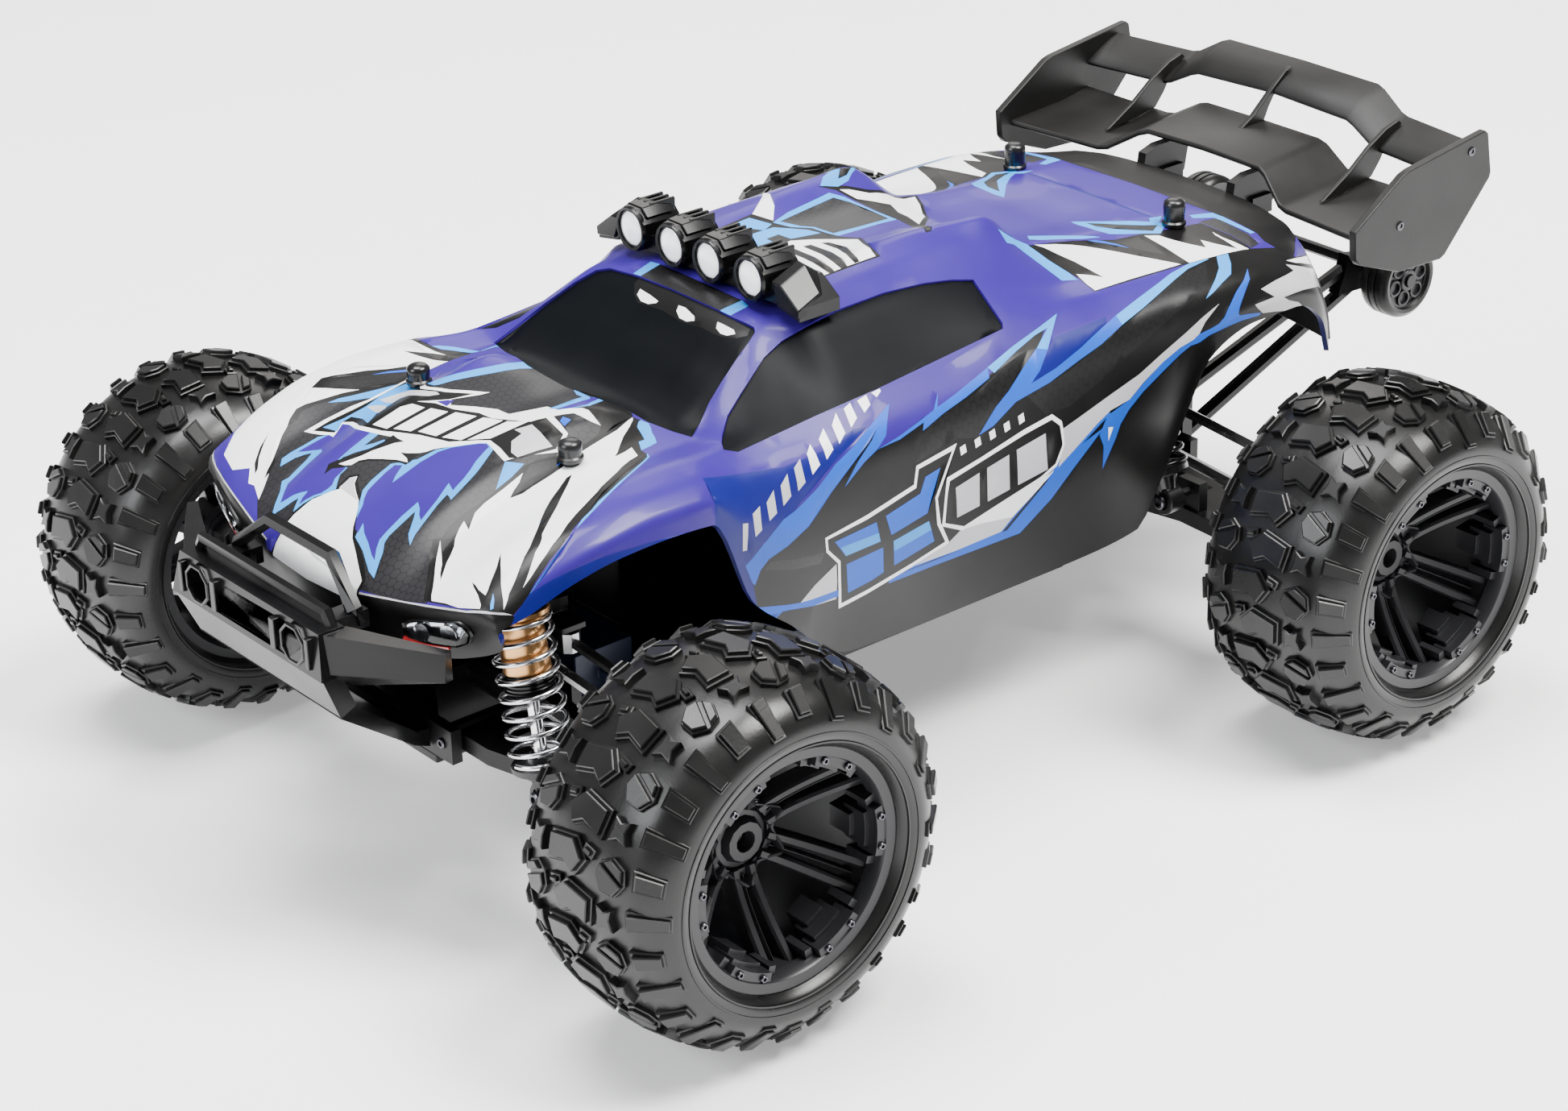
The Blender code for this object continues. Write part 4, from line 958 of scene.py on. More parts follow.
def headlights():
    """Lamp units let into the front fascia: each follows the sheet from u 35 to 62 and v 3 to 9."""
    outline = [(35.6, 5.6), (37.2, 4.2), (42, 3.6), (49, 3.2), (55, 3.0), (60.2, 3.8), (61.8, 5.6),
               (60.6, 7.4), (57, 8.8),
               (51, 8.9), (44, 8.8), (38.6, 8.2), (36.2, 7.0)]
    middle = (48.8, 6.0)
    for side, tag in ((1, "l"), (-1, "r")):
        def ring(scale, lift):
            made = [on_shell(side * (middle[0] + (u - middle[0]) * scale),
                             middle[1] + (v - middle[1]) * scale, lift)
                    for u, v in outline]
            return made if side > 0 else made[::-1]

        points, faces = loft([ring(1.06, -0.8), ring(1.06, 0.5), ring(1.0, 0.9), ring(0.95, 0.5),
                              ring(0.93, -0.4)])
        piece(f"headlight_bezel_{tag}", points, faces, GLOSS, "frame", angle=40)
        bowls, bulbs = [loft([ring(0.92, -0.3), ring(0.91, 0.1)])], []
        for u in (42.2, 52.6):
            seat = on_shell(side * u, 6.1, 0.1)
            out = (on_shell(side * u, 6.1, 1.0) - seat).normalized()
            bowls.append(turned(seat, out, [(-0.1, 0.4), (0.05, 1.2), (0.35, 1.9), (0.75, 2.3), (0.85, 2.3),
                                            (0.85, 2.0)], 28))
            bulbs.append(turned(seat, out, [(0, 0.7), (0.5, 0.7), (0.8, 0.35)], 16))
        points, faces = merged(bowls)
        piece(f"headlight_reflector_{tag}", points, faces, REFLECT, "frame", angle=40)
        points, faces = merged(bulbs)
        piece(f"headlight_bulb_{tag}", points, faces, SCREW, "frame", angle=40)
        points, faces = loft([ring(0.93, 0.35), ring(0.90, 0.9), ring(0.6, 1.25)])
        piece(f"headlight_lens_{tag}", points, faces, LENS, "frame", angle=60)
        strip = [(34.6, 3.3), (40, 2.5), (46, 2.1), (51, 2.1), (51, 2.9), (46, 3.0), (40, 3.4), (35, 4.1)]
        if side < 0:
            strip = strip[::-1]
        points, faces = loft([[on_shell(side * u, v, lift) for u, v in strip] for lift in (-0.2, 0.7)])
        piece(f"headlight_strip_{tag}", points, faces, RED, "frame", bevel=0.15)


TAIL_V = 318.2  # just inside the sheet's rear edge


def tail_panels():
    """Rear corners of the shell: a panel on each side closes the tail outside the wing struts."""
    for side, tag in ((1, "l"), (-1, "r")):
        rings = []
        for u in np.linspace(27, 77, 26):
            edge = on_shell(side * float(u), TAIL_V, -0.2)
            low = 84.0 + 15.0 * max(0.0, 1 - (abs(edge.x) - 26) / 13)
            rings.append([edge, edge + Vector((0, 1.4, -1.2)), Vector((edge.x, edge.y + 2.6, low)),
                          Vector((edge.x, edge.y + 1.2, low))])
        points, faces = loft(rings if side < 0 else rings[::-1])
        piece(f"tail_panel_{tag}", points, faces, BLACK, "frame", bevel=0.3, angle=30)


def light_bar():
    refined("light_bar", GLOSS, 0.45)
    parts, rings, lamps = [], [], []
    for x in (-23.9, -7.5, 7.5, 23.9):
        centre = Vector((x, -30.0, 137.5))
        rings.append(turned(centre - Vector((0, 0.5, 0)), (0, 1, 0),
                            [(0, 5.0), (0, 5.6), (0.8, 5.9), (1.6, 5.6), (1.6, 4.7)], 32, closed=True))
        lens = [(0.9, 4.66), (0.2, 4.3), (-0.3, 3.2), (-0.6, 1.6), (-0.7, 0.3)]
        lamps.append(turned(centre, (0, 1, 0), lens, 32))
        # a ribbed cowl over each pod and the bracket that carries it
        cowl = [[(x - 5.2, y, 141.2), (x + 5.2, y, 141.2), (x + 3.0, y, 144.0 - drop),
                 (x - 3.0, y, 144.0 - drop)]
                for y, drop in ((-28.4, 0.6), (-24.0, 0.2), (-19.0, 1.6))]
        parts.append(loft(cowl))
        for shift in (-2.4, 0, 2.4):
            parts.append(block((x + shift - 0.5, x + shift + 0.5), (-25.5, -17.5), (140.5, 143.9)))
        parts.append(block((x - 6.6, x + 6.6), (-24.5, -17.0), (134.5, 138.6)))
    for x in (-15.7, 0, 15.7):
        parts.append(block((x - 2.0, x + 2.0), (-26.5, -16.0), (135.5, 138.2)))
        parts.append(block((x - 1.2, x + 1.2), (-27.6, -26.0), (133.2, 136.2)))
    for side in (-1, 1):
        wedge = [[(side * a, y, z) for a, z in outline] for y, outline in (
            (-28.6, ((30.5, 138.2), (34.2, 138.0), (40.9, 133.2), (40.6, 131.0), (33, 132.2))),
            (-20.0, ((30.5, 141.6), (33.6, 141.2), (39.0, 135.2), (40.2, 130.6), (33, 131.8))),
            (-13.6, ((30.5, 137.0), (33.0, 136.6), (36.2, 133.6), (37.5, 131.0), (33, 131.8))))]
        parts.append(loft(wedge))
    points, faces = merged(parts)
    piece("light_bar_cowls", points, faces, GLOSS, "frame", bevel=0.35, segments=2)
    points, faces = merged(rings)
    piece("light_bar_bezels", points, faces, GLOSS, "frame", angle=40)
    points, faces = merged(lamps)
    piece("light_bar_lamps", points, faces, LAMP, "frame", angle=60)


# The wing


def blade(stations, thickness=1.7):
    """A wing blade: each station is (x, points of the chord from front to rear)."""
    rings = []
    for x, chord in stations:
        top = [Vector((x, y, z)) for y, z in chord]
        low = [Vector((x, y, z - thickness)) for y, z in reversed(chord)]
        front = Vector((x, chord[0][0] - 0.5, chord[0][1] - thickness / 2))
        back = Vector((x, chord[-1][0] + 0.4, chord[-1][1] - thickness / 2))
        rings.append(top + [back] + low + [front])
    return loft(rings)


def spread(stations):
    return [(-x, chord) for x, chord in reversed(stations)] + stations


def wing():
    lower = [(0.01, [(154.7, 121.4), (160, 122.4), (170, 123.2), (179, 123.6)]),
             (21.6, [(154.5, 121.0), (160, 122.0), (170, 122.9), (179, 123.4)]),
             (24.6, [(153.6, 120.0), (160, 120.8), (170, 121.8), (179, 122.6)]),
             (33.6, [(150.0, 114.4), (158, 115.2), (168, 116.0), (178, 117.6)]),
             (37.0, [(149.3, 113.7), (158, 114.3), (168, 115.2), (178, 117.0)]),
             (68.6, [(144.5, 114.6), (155, 115.3), (166, 116.0), (176, 118.0)])]
    upper = [(0.01, [(182.6, 131.8), (186.5, 134.6), (190.5, 136.4), (195, 137.8)]),
             (28.6, [(182.1, 130.8), (186, 133.8), (190, 135.8), (195, 137.4)]),
             (31.4, [(181.8, 129.9), (186, 132.8), (190, 134.8), (194.7, 136.4)]),
             (39.0, [(181.1, 126.0), (185, 128.4), (189, 130.2), (193.5, 132.0)]),
             (41.6, [(180.8, 125.4), (185, 127.8), (189, 129.6), (193.1, 131.4)]),
             (68.6, [(176, 126), (180.4, 128.6), (184.4, 130.6), (188, 132)])]
    outline = [(140, 118), (140.6, 110.4), (142.2, 108.3), (158.7, 102), (175.8, 101.3), (177.6, 102.2),
               (194.6, 120.4), (195, 122.0), (192.9, 133.6), (191.6, 134.6), (161, 130.6), (158.4, 129.8)]
    parts = [blade(spread(lower)), blade(spread(upper), 1.6)]
    for side in (-1, 1):
        flat = [(side * (69.3 - 1.2), y, z) for y, z in outline]
        parts.append(loft([flat, [(side * (69.3 + 1.2), y, z) for _, y, z in flat]]))
        # the curved strakes between the two blades
        strake = [(157.5, 114.9), (166, 115.5), (177.6, 117.4), (181.0, 121.5), (184.0, 126.4),
                  (189.5, 130.4),
                  (188.0, 131.6), (183.0, 130.2), (176.0, 126.4), (168.5, 121.0)]
        parts.append(loft([[(side * (42.0 - 0.75), y, z) for y, z in strake],
                           [(side * (42.0 + 0.75), y, z) for y, z in strake]]))
    middle = [(168, 122.4), (178.6, 123.0), (180.5, 127.0), (184.5, 133.2), (190.0, 137.0), (187.0, 136.4),
              (181.5, 132.0), (174.5, 126.0)]
    parts.append(loft([[(-0.9, y, z) for y, z in middle], [(0.9, y, z) for y, z in middle]]))
    points, faces = merged(parts)
    made = piece("rear_wing_fine", points, faces, WING, "frame", bevel=0.5, segments=3,
                 angle=38)
    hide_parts("rear_wing")
    parts = [bolt((side * 70.4, y, z), (side, 0, 0), 1.3, 0.5) for side in (-1, 1) for y,
             z in ((158, 115.6), (186, 130.0))]
    points, faces = merged(parts)
    piece("wing_screws", points, faces, SCREW, "frame")


def wheelie_wheels():
    for tag, side in (("l", 1), ("r", -1)):
        centre = Vector((side * 38, 196.5, 81.5))
        body = f"wheelie_wheel_{tag}"
        tread = [(-4.6, 7.6), (-5.0, 9.6), (-4.2, 10.8), (-3.0, 11.3), (-1.6, 11.35), (-1.4, 10.9),
                 (-0.9, 10.9),
                 (-0.7, 11.35), (0.7, 11.35), (0.9, 10.9), (1.4, 10.9), (1.6, 11.35), (3.0, 11.3),
                 (4.2, 10.8),
                 (5.0, 9.6), (4.8, 8.6), (3.8, 8.2), (3.8, 7.6)]
        points, faces = turned(centre, (side, 0, 0), tread, 56, closed=True)
        made = piece(f"{body}_tread", points, faces, RUBBER, body, angle=40)
        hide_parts(body)
        parts = [turned(centre, (side, 0, 0), [(-4.4, 2.1), (-4.4, 8.2), (3.2, 8.2), (3.4, 7.8), (3.0, 2.6),
                                               (3.0, 2.1)], 48,
                        closed=True)]
        parts.append(turned(centre, (side, 0, 0), [(2.6, 1.9), (2.6, 3.2), (4.3, 3.2), (4.6, 2.9),
                                                   (4.6, 1.9)], 32, closed=True))
        for k in range(6):
            a = math.radians(60 * k + 15)
            petal = centre + Vector((0, 5.35 * math.cos(a), 5.35 * math.sin(a)))
            parts.append(turned(petal, (side, 0, 0), [(2.9, 1.75), (2.9, 2.45), (4.1, 2.45), (4.2, 1.75)],
                                22, closed=True))
        points, faces = merged(parts)
        piece(f"{body}_hub", points, faces, RIM, body, bevel=0.12, angle=40)


def screws():
    """Screw heads and pin ends on the running gear."""
    frame_parts = []
    for tag, side, at in CORNERS:
        (x0, z0), (x1, z1) = SHOCKS[tag[0]]
        frame_parts.append(bolt((side * x0, at + SHOCK_Y - 3.2, z0), (0, -1, 0), 2.3, 1.4))
        frame_parts.append(bolt((side * 14, at + 2.2, 68.5), (0, 1, 0), 1.7, 1.2))
        for x in (8.0, 22.5):
            frame_parts.append(bolt((side * x, at - 19.5, 43), (0, -1, 0), 1.4, 0.8))
            frame_parts.append(bolt((side * x, at + 19.5, 43), (0, 1, 0), 1.4, 0.8))
        points, faces = merged([bolt((side * 80, at - 10.7, 38), (0, -1, 0), 1.7, 0.9),
                                bolt((side * 80, at + 10.7, 38), (0, 1, 0), 1.7, 0.9),
                                bolt((side * x1, at + SHOCK_Y - 3.2, z1), (0, -1, 0), 2.0, 1.2)])
        piece(f"arm_screws_{tag}", points, faces, SCREW, f"arm_{tag}")
        hub = "c_hub" if tag[0] == "f" else "hub_carrier"
        parts = [bolt((side * 73, at + 2.2, 63.5), (0, 1, 0), 1.7, 1.1)]
        if tag[0] == "f":
            parts += [bolt((side * 87, at, 60.4), (0, 0, 1), 2.2, 1.1),
                      bolt((side * 87, at, 35.3), (0, 0, -1), 2.2, 0.7)]
            points, faces = bolt((side * 87, at + 15.7, 58.5), (0, 0, 1), 1.9, 0.9)
            piece(f"tie_rod_screw_{tag}", points, faces, SCREW, f"tie_rod_{tag}")
        points, faces = merged(parts)
        piece(f"{hub}_screws_{tag}", points, faces, SCREW, f"{hub}_{tag}")
    for x in (-33.5, 33.5):
        for y in (-88.5, -96.1):
            frame_parts.append(bolt((x * 0.9, y - 12, 84.9), (0, 0, 1), 1.2, 0.7))
    points, faces = merged(frame_parts)
    piece("frame_screws", points, faces, SCREW, "frame")


def bumper():
    refined("front_bumper", GLOSS, 0.6, 3)
    parts = []
    for x in (-21, 21):
        ring = [(0, 4.5), (0, 5.3), (0.5, 5.6), (0.9, 5.6), (0.9, 4.5)]
        parts.append(turned((x, -166.6, 82.5), (0, 1, 0), ring, 8, closed=True))
    for side in (-1, 1):
        parts.append(block(sorted((side * 12.0, side * 14.2)), (-166.9, -164), (78.6, 86.6)))
        parts.append(block(sorted((side * 27.0, side * 28.6)), (-166.9, -164), (78.6, 86.6)))
    points, faces = merged(parts)
    piece("bumper_trim", points, faces, GLOSS, "frame", bevel=0.25)


def carried_over():
    for node, look, bevel in (("chassis", BLACK, 0.5), ("front_gearbox", BLACK, 0.5),
                              ("rear_gearbox", BLACK, 0.5),
                              ("front_tower", BLACK, 0.4), ("rear_tower", BLACK, 0.4),
                              ("wheelie_bar", GLOSS, 0.4),
                              ("motor", STEEL, 0.4), ("steering_servo", SERVO, 0.4),
                              ("steering_link", BLACK, 0.3),
                              ("servo_horn", BLACK, 0.3), ("tie_rod_fl", STEEL, 0.25),
                              ("tie_rod_fr", STEEL, 0.25),
                              ("knuckle_fl", BLACK, 0.4), ("knuckle_fr", BLACK, 0.4),
                              ("c_hub_fl", BLACK, 0.4),
                              ("c_hub_fr", BLACK, 0.4), ("hub_carrier_rl", BLACK, 0.4),
                              ("hub_carrier_rr", BLACK, 0.4)):
        refined(node, look, bevel)
    for tag, _, _ in CORNERS:
        refined(f"arm_{tag}", BLACK, 0.45)
        refined(f"camber_link_{tag}", STEEL, 0.25)
        refined(f"dogbone_{tag}", STEEL, 0.25)


# The studio
WORLD_STRENGTH = 0.34
LIGHTS = (  # name, place, size, watts, tint
    ("key", (0.7, 0.5, 1.7), 0.8, 78.0, (1.0, 0.99, 0.97)),
    ("fill", (-0.3, -1.7, 1.1), 0.9, 26.0, (0.96, 0.98, 1.0)),
    ("back", (-1.1, 1.0, 1.0), 0.8, 6.0, (1.0, 0.97, 0.93)),
    ("top", (-0.3, -0.2, 1.9), 1.0, 62.0, (1.0, 1.0, 1.0)),
)
LIT_POINT = (0, 0, 0.06)
CAMERA_ANGLES = (50.848, 25.801, -1.490)  # azimuth, elevation and roll in degrees, fitted to the photograph
CAMERA_PLACE = (0.6556, -0.5561, 0.4527)
CAMERA_LENS, CAMERA_SENSOR = 80.8, 36.0


def studio():
    bpy.ops.mesh.primitive_grid_add(x_subdivisions=2, y_subdivisions=2, size=9.0, location=(0, 0, -0.0002))
    floor = bpy.context.active_object
    floor.name = "studio_floor"
    floor.data.materials.append(FLOOR)
    world = bpy.context.scene.world or bpy.data.worlds.new("studio")
    bpy.context.scene.world = world
    world.use_nodes = True
    back = world.node_tree.nodes["Background"]
    back.inputs["Color"].default_value = (1.0, 1.0, 1.0, 1.0)
    back.inputs["Strength"].default_value = WORLD_STRENGTH
    for name, where, size, power, tint in LIGHTS:
        light = bpy.data.lights.new(name, "AREA")
        light.energy = power
        light.size = size
        light.color = tint
        obj = bpy.data.objects.new(name, light)
        bpy.context.scene.collection.objects.link(obj)
        obj.location = where
        obj.rotation_mode = "QUATERNION"
        obj.rotation_quaternion = (Vector(LIT_POINT) - Vector(where)).to_track_quat("-Z", "Y")


def camera():
    azimuth, elevation, roll = (math.radians(a) for a in CAMERA_ANGLES)
    flat = math.cos(elevation)
    back = Vector((math.sin(azimuth) * flat, -math.cos(azimuth) * flat, math.sin(elevation)))
    right = Vector((math.cos(azimuth), math.sin(azimuth), 0))
    up = back.cross(right)
    across = right * math.cos(roll) + up * math.sin(roll)
    upright = up * math.cos(roll) - right * math.sin(roll)
    lens = bpy.data.cameras.new("camera")
    lens.sensor_width = CAMERA_SENSOR
    lens.lens = CAMERA_LENS
    obj = bpy.data.objects.new("camera", lens)
    bpy.context.scene.collection.objects.link(obj)
    turn = Matrix((across, upright, back)).transposed().to_4x4()
    obj.matrix_world = Matrix.Translation(CAMERA_PLACE) @ turn
    lens.clip_start, lens.clip_end = 0.02, 30.0
    bpy.context.scene.camera = obj


WINDOWS = [
    (PANE, [(0, 88.8), (9, 88.6), (15, 89), (22, 90.2), (29, 92.2), (36, 95.2), (41.2, 98), (39.6, 103),
            (38.3, 108),
            (38.4, 114), (40, 120.5), (41.2, 126), (40.5, 129.3), (37.5, 130.4), (25.5, 129.2),
            (0, 128.4)], False),
    (PANE, [(0, 88.8), (-5, 88.4), (-14, 88), (-22, 90.4), (-30, 93.4), (-42, 98), (-43, 107), (-42, 114),
            (-39, 121.5),
            (-34, 126.4), (-29, 128.2), (-15, 128.4), (0, 128.4)], False),
    (PANE, [(54.5, 98.6), (56.6, 102), (55.9, 112), (55.2, 130), (55, 150), (54.9, 193.2), (53.8, 194.1),
            (41.8, 194.6),
            (40.9, 188), (40.2, 180), (39.4, 167), (39.3, 152), (40, 145), (41.2, 140), (43.6, 134),
            (44.8, 127),
            (45, 115), (45.6, 108.6), (48.5, 103.2), (51.2, 100.5)], True),
    (COAL, [(-14, 126), (-10.5, 123.2), (-7, 121.5), (3, 122.2), (11, 121.6), (19, 122.8), (27, 123.2),
            (33, 125),
            (38, 127.4), (36, 129.6), (25.5, 129.2), (0, 128.4), (-15, 128.4)], False),
    # three painted reflections of the light bar's lamps along the screen's top edge
    (BRIGHT, [(-10.3, 125.2), (-9.5, 123.4), (-6.5, 122.2), (-3.5, 122.2), (-1.2, 123.2), (-1, 123.9),
              (-5, 124.6)], False),
    (BRIGHT, [(6.3, 125.2), (7, 123.6), (9.5, 122.3), (12.5, 122.3), (15, 123.4), (14, 124.4),
              (9, 125.4)], False),
    (BRIGHT, [(22.8, 126.2), (24, 124.5), (26.5, 123.9), (29, 124.3), (31.5, 125.8), (30, 126.6),
              (25, 126.4)], False),
]
LIVERY = [
    # deeper blue, partly the paint's own tone and partly painted shade where the body turns away from the
    # light: the arch bevel, the flank and the sill ahead of the door
    (DEEP_BLUE_AND_SHADE, [(79.5, 24), (84, 21), (90, 18), (97.5, 16), (97.5, 75), (94, 60), (89, 47.5), (84, 37),
                (81, 30)], True),
    (DEEP_BLUE_AND_SHADE, [(64, 84), (80, 83), (97.5, 82), (97.5, 100), (80, 100), (71, 114), (65, 129), (61, 142),
                (60.4, 138),
                (62.4, 128), (63, 112), (63, 98)], True),
    (DEEP_BLUE_AND_SHADE, [(65.4, 194.4), (62, 202), (59.8, 206.4), (59.8, 226), (61.4, 224), (63.8, 212),
                (65.2, 203)], True),
    # hood ground
    (COMB, [(-27, 13.5), (-18, 17), (20, 12.6), (43, 13.5), (34, 24), (30, 36), (30, 50), (31, 60),
            (29, 78), (26, 90),
            (14, 93), (-13, 89), (-18, 90), (-38, 80), (-42, 68), (-50, 58), (-58, 48), (-51, 38),
            (-50, 33), (-33, 17)], False),
    # fascia, and a grey line along its lip: the clear trim edge with a painted highlight on it
    (COAL, [(0, 0), (0, 9.6), (20, 9.6), (21, 12.2), (30, 12.8), (40, 13.1), (56, 12.6), (62, 12.2),
            (70, 13.4),
            (80, 15.8), (88, 18), (92, 18), (97.5, 16.5), (97.5, 0)], True),
    (GREY, [(20, 11.6), (30, 12.6), (40, 12.8), (50, 12.1), (60, 11.6), (66, 12.1), (72, 13.1), (80, 15.1),
            (88, 17.8),
            (80, 16), (72, 14), (66, 12.9), (60, 12.2), (50, 12.7), (40, 13.3), (30, 13.1),
            (20, 12.1)], True),
    # truck-left fender: black ground with its light edge, then white
    (SKY, [(80, 24), (78.2, 25.3), (76.2, 27.2), (74.2, 30.2), (69.7, 37.2), (63.7, 45.2), (59.7, 53.5),
           (55.7, 61.2),
           (50.6, 69.8), (45.1, 78), (43, 80.7), (40.8, 81.6), (60, 50)], False),
    (COAL, [(41, 14.2), (38.6, 17), (36, 19.8), (33, 22.8), (30, 26.4), (28.2, 28.8), (29.4, 30.4),
            (28.3, 34), (28.2, 38),
            (28.6, 42), (28.4, 48), (27.9, 52), (27, 56), (27.6, 60), (29.6, 66), (29.4, 72), (28.6, 76),
            (27, 78.3),
            (18.6, 79.8), (18.2, 84), (16, 88), (14, 92.5), (14.6, 96), (16, 96.6), (20, 94), (26.5, 89.4),
            (27.9, 90.8),
            (30, 87.5), (34.9, 85.7), (34.9, 83.7), (38.6, 81.4), (40.8, 81.3), (42.5, 80.3), (44.5, 77.7),
            (47, 74),
            (50, 69.5), (52.6, 65), (55, 61), (56.9, 56.8), (59, 53.3), (61, 48.5), (63, 45), (66, 41.5),
            (69, 37),
            (71, 33.5), (73.5, 30), (75.5, 27), (77.5, 25.1), (79.5, 24), (84, 21), (88.5, 18), (80, 15.9),
            (72, 13.9),
            (64, 12.6), (56, 12.8)], False),
    (BRIGHT, [(43.9, 14.4), (50, 13.8), (56, 12.8), (65.1, 13.4), (64.4, 14.4), (60, 16.8), (56, 18.4),
              (53.3, 19.8),
              (56, 19), (58.5, 18.1), (62.8, 17.1), (62, 18.3), (60.1, 20.5), (58.5, 23), (57, 25.3),
              (55, 27.6),
              (53.2, 29.6), (57.5, 26.2), (60, 24.3), (64.5, 20.8), (69, 19), (72.5, 17.8), (76.9, 16.2),
              (73.5, 18.6),
              (71, 20.1), (69.5, 21.8), (67.5, 24.2), (64.8, 27), (62, 30.5), (60, 33.7), (57.5, 36.6),
              (54.7, 39.9),
              (55.9, 41.6), (58, 39), (60, 37.5), (61.8, 35.6), (63.5, 33), (66.5, 30.2), (69.5, 27.6),
              (71.5, 25.8),
              (73.7, 23.5), (72, 27), (69.5, 30.8), (67.6, 34), (65, 37.5), (63, 41), (60, 45),
              (57.5, 49.5), (54.8, 55),
              (52, 59.5), (50, 62), (47.5, 66.2), (45.2, 69.8), (43, 72.5), (41, 76), (40.2, 79),
              (36, 80.3), (36.8, 77.5),
              (37.2, 74.4), (36, 76), (33.5, 78.5), (31.3, 81.5), (29.5, 85.2), (27.5, 88.4), (26.6, 89.1),
              (27.5, 86.8),
              (28.5, 84), (29.3, 81.3), (29.9, 76.5), (30.8, 70), (32.1, 65), (32.8, 59.5), (33, 53.5),
              (33.2, 51),
              (32.2, 48), (31, 50), (30, 52.5), (28.4, 54.8), (29.1, 49), (29.3, 43), (29.8, 39.8),
              (31, 37.8),
              (32.5, 35.6), (29.7, 36.6), (30.5, 34.5), (32, 32), (34, 30), (35.5, 27.8), (37, 25),
              (38.5, 22.7),
              (40.2, 20), (38, 22), (36, 24.5), (33.5, 26.6), (29.7, 29.6), (32.5, 26), (35, 23.2),
              (37.5, 20.6),
              (40.2, 18), (42.3, 15.7)], False),
    (COAL, [(54.7, 39.9), (50, 44.3), (45.5, 48.6), (41.5, 53), (39, 57.4), (36.8, 61), (36.6, 62.8),
            (39.4, 59.6),
            (43.2, 55), (47.6, 50.8), (51.6, 46.6), (55.9, 41.6)], False),
    (COMB_DARK, [(32, 49), (30.4, 52), (27.6, 57.5), (29.4, 63), (31, 64), (32, 59), (32.4, 53)], False),
    (AZURE, [(31.3, 62), (30.5, 64.5), (30, 67), (30.4, 67), (31.2, 64.5)], False),
    (SKY, [(38.6, 81.4), (34.9, 83.6), (34.9, 85.7), (30, 87.5), (28.5, 89.4), (27.9, 90.8), (29.6, 92),
           (31.5, 91),
           (33.5, 89.7), (35.5, 88.9), (37.8, 87.5), (38.2, 85)], False),
    (SKY, [(70.8, 14.2), (68.6, 15.4), (64.8, 18.2), (68, 17), (71.6, 15)], False),
    (SKY, [(28.2, 47.2), (26, 50.2), (23.2, 53.8), (24.6, 54.8), (26.6, 56.6), (27.8, 52)], False),
    # truck-right fender
    (SKY, [(-46.2, 46.2), (-42.6, 50.4), (-39.4, 54.5), (-37.7, 56), (-37.6, 60), (-38.3, 63), (-40.5, 59),
           (-43.5, 53.1), (-45.5, 49.2)], False),
    (COAL, [(-49.1, 35.2), (-46.8, 36.6), (-48.8, 39), (-48.2, 42.9), (-46.4, 46.8), (-44, 53),
            (-40.9, 59.1),
            (-38.6, 63.4), (-38.7, 68.6), (-41.5, 70.4), (-44.5, 71), (-60, 52), (-60, 40)], False),
    (COMB_DARK, [(-53.8, 49), (-49, 53), (-44.5, 57), (-39.6, 63.5), (-41, 68.4), (-44, 66), (-48, 60),
                 (-52, 54.5),
                 (-55.2, 51.2)], False),
    (AZURE, [(-47.5, 61), (-45.7, 65.2), (-43, 69.5), (-42, 69), (-44.7, 65.4)], False),
    (COAL, [(-97.5, 86), (-66, 83.4), (-60, 82), (-55, 80.8), (-50, 81), (-46, 82), (-43, 85.4), (-38, 88),
            (-37.7, 78),
            (-66, 78)], False),
    (BRIGHT, [(-44.9, 19.7), (-40.4, 17.6), (-38, 18.3), (-32.3, 17.1), (-34.6, 19.5), (-37, 22),
              (-40.9, 26),
              (-43.5, 28.9), (-45.5, 30.8), (-47.2, 33.4), (-49.1, 35.2), (-50.9, 38.3), (-50.5, 41),
              (-48.4, 46.3),
              (-46.7, 51.1), (-44.5, 55.2), (-47.9, 52.1), (-52, 48.5), (-55.8, 45.8), (-58, 50.4),
              (-55.9, 53.1),
              (-52.5, 56.9), (-50.1, 60.8), (-46.9, 65.6), (-44.5, 70.4), (-38.2, 70.6), (-37.9, 79.5),
              (-42, 81.5),
              (-46, 80.2), (-50, 79.4), (-55, 79.2), (-60, 80.4), (-66, 81.5), (-84, 83), (-84, 50),
              (-78, 34),
              (-70, 22), (-60, 16), (-50, 16)], False),
    (COAL, [(-50.4, 29), (-48.3, 24.6), (-45, 21.2), (-41.3, 19.9), (-42.2, 21.2), (-45.5, 23),
            (-48.3, 26)], False),
    (COAL, [(-41, 26.3), (-38.8, 22.6), (-37.2, 20.8), (-37.6, 22.8), (-39.4, 26)], False),
    (COMB_DARK, [(-52, 73.5), (-46, 75.6), (-42, 77.2), (-37.9, 79), (-37.9, 83), (-42, 81.6),
                 (-46, 78.6)], False),
    (SKY, [(-49.3, 81.1), (-46, 82.5), (-43, 85.5), (-38.5, 87.5), (-37.7, 90), (-41.5, 89), (-45.5, 86.5),
           (-48.5, 83)], False),
    (SKY, [(-38, 90.5), (-34, 91), (-30, 92.5), (-26, 95), (-30, 96.5), (-36, 99), (-39, 97)], False),
    # nose piece
    (COAL, [(-17.2, 9), (20.8, 9), (20.9, 15), (16, 18), (11.4, 20), (7.6, 21.6), (5, 23.8), (2.4, 26.8),
            (0, 28.8),
            (-2, 30.2), (-5, 31.4), (-8, 32.8), (-9.5, 34.6), (-11.8, 32.6), (-11.5, 30), (-11.3, 29),
            (-13, 27.2),
            (-14.2, 25.4), (-16, 22.6), (-17, 19)], False),
    (BRIGHT, [(-16.2, 9), (19.9, 9), (19.9, 14.5), (15.4, 16.9), (11, 19), (7, 20.8), (4.5, 22.9),
              (1.9, 25.9), (0, 27.7),
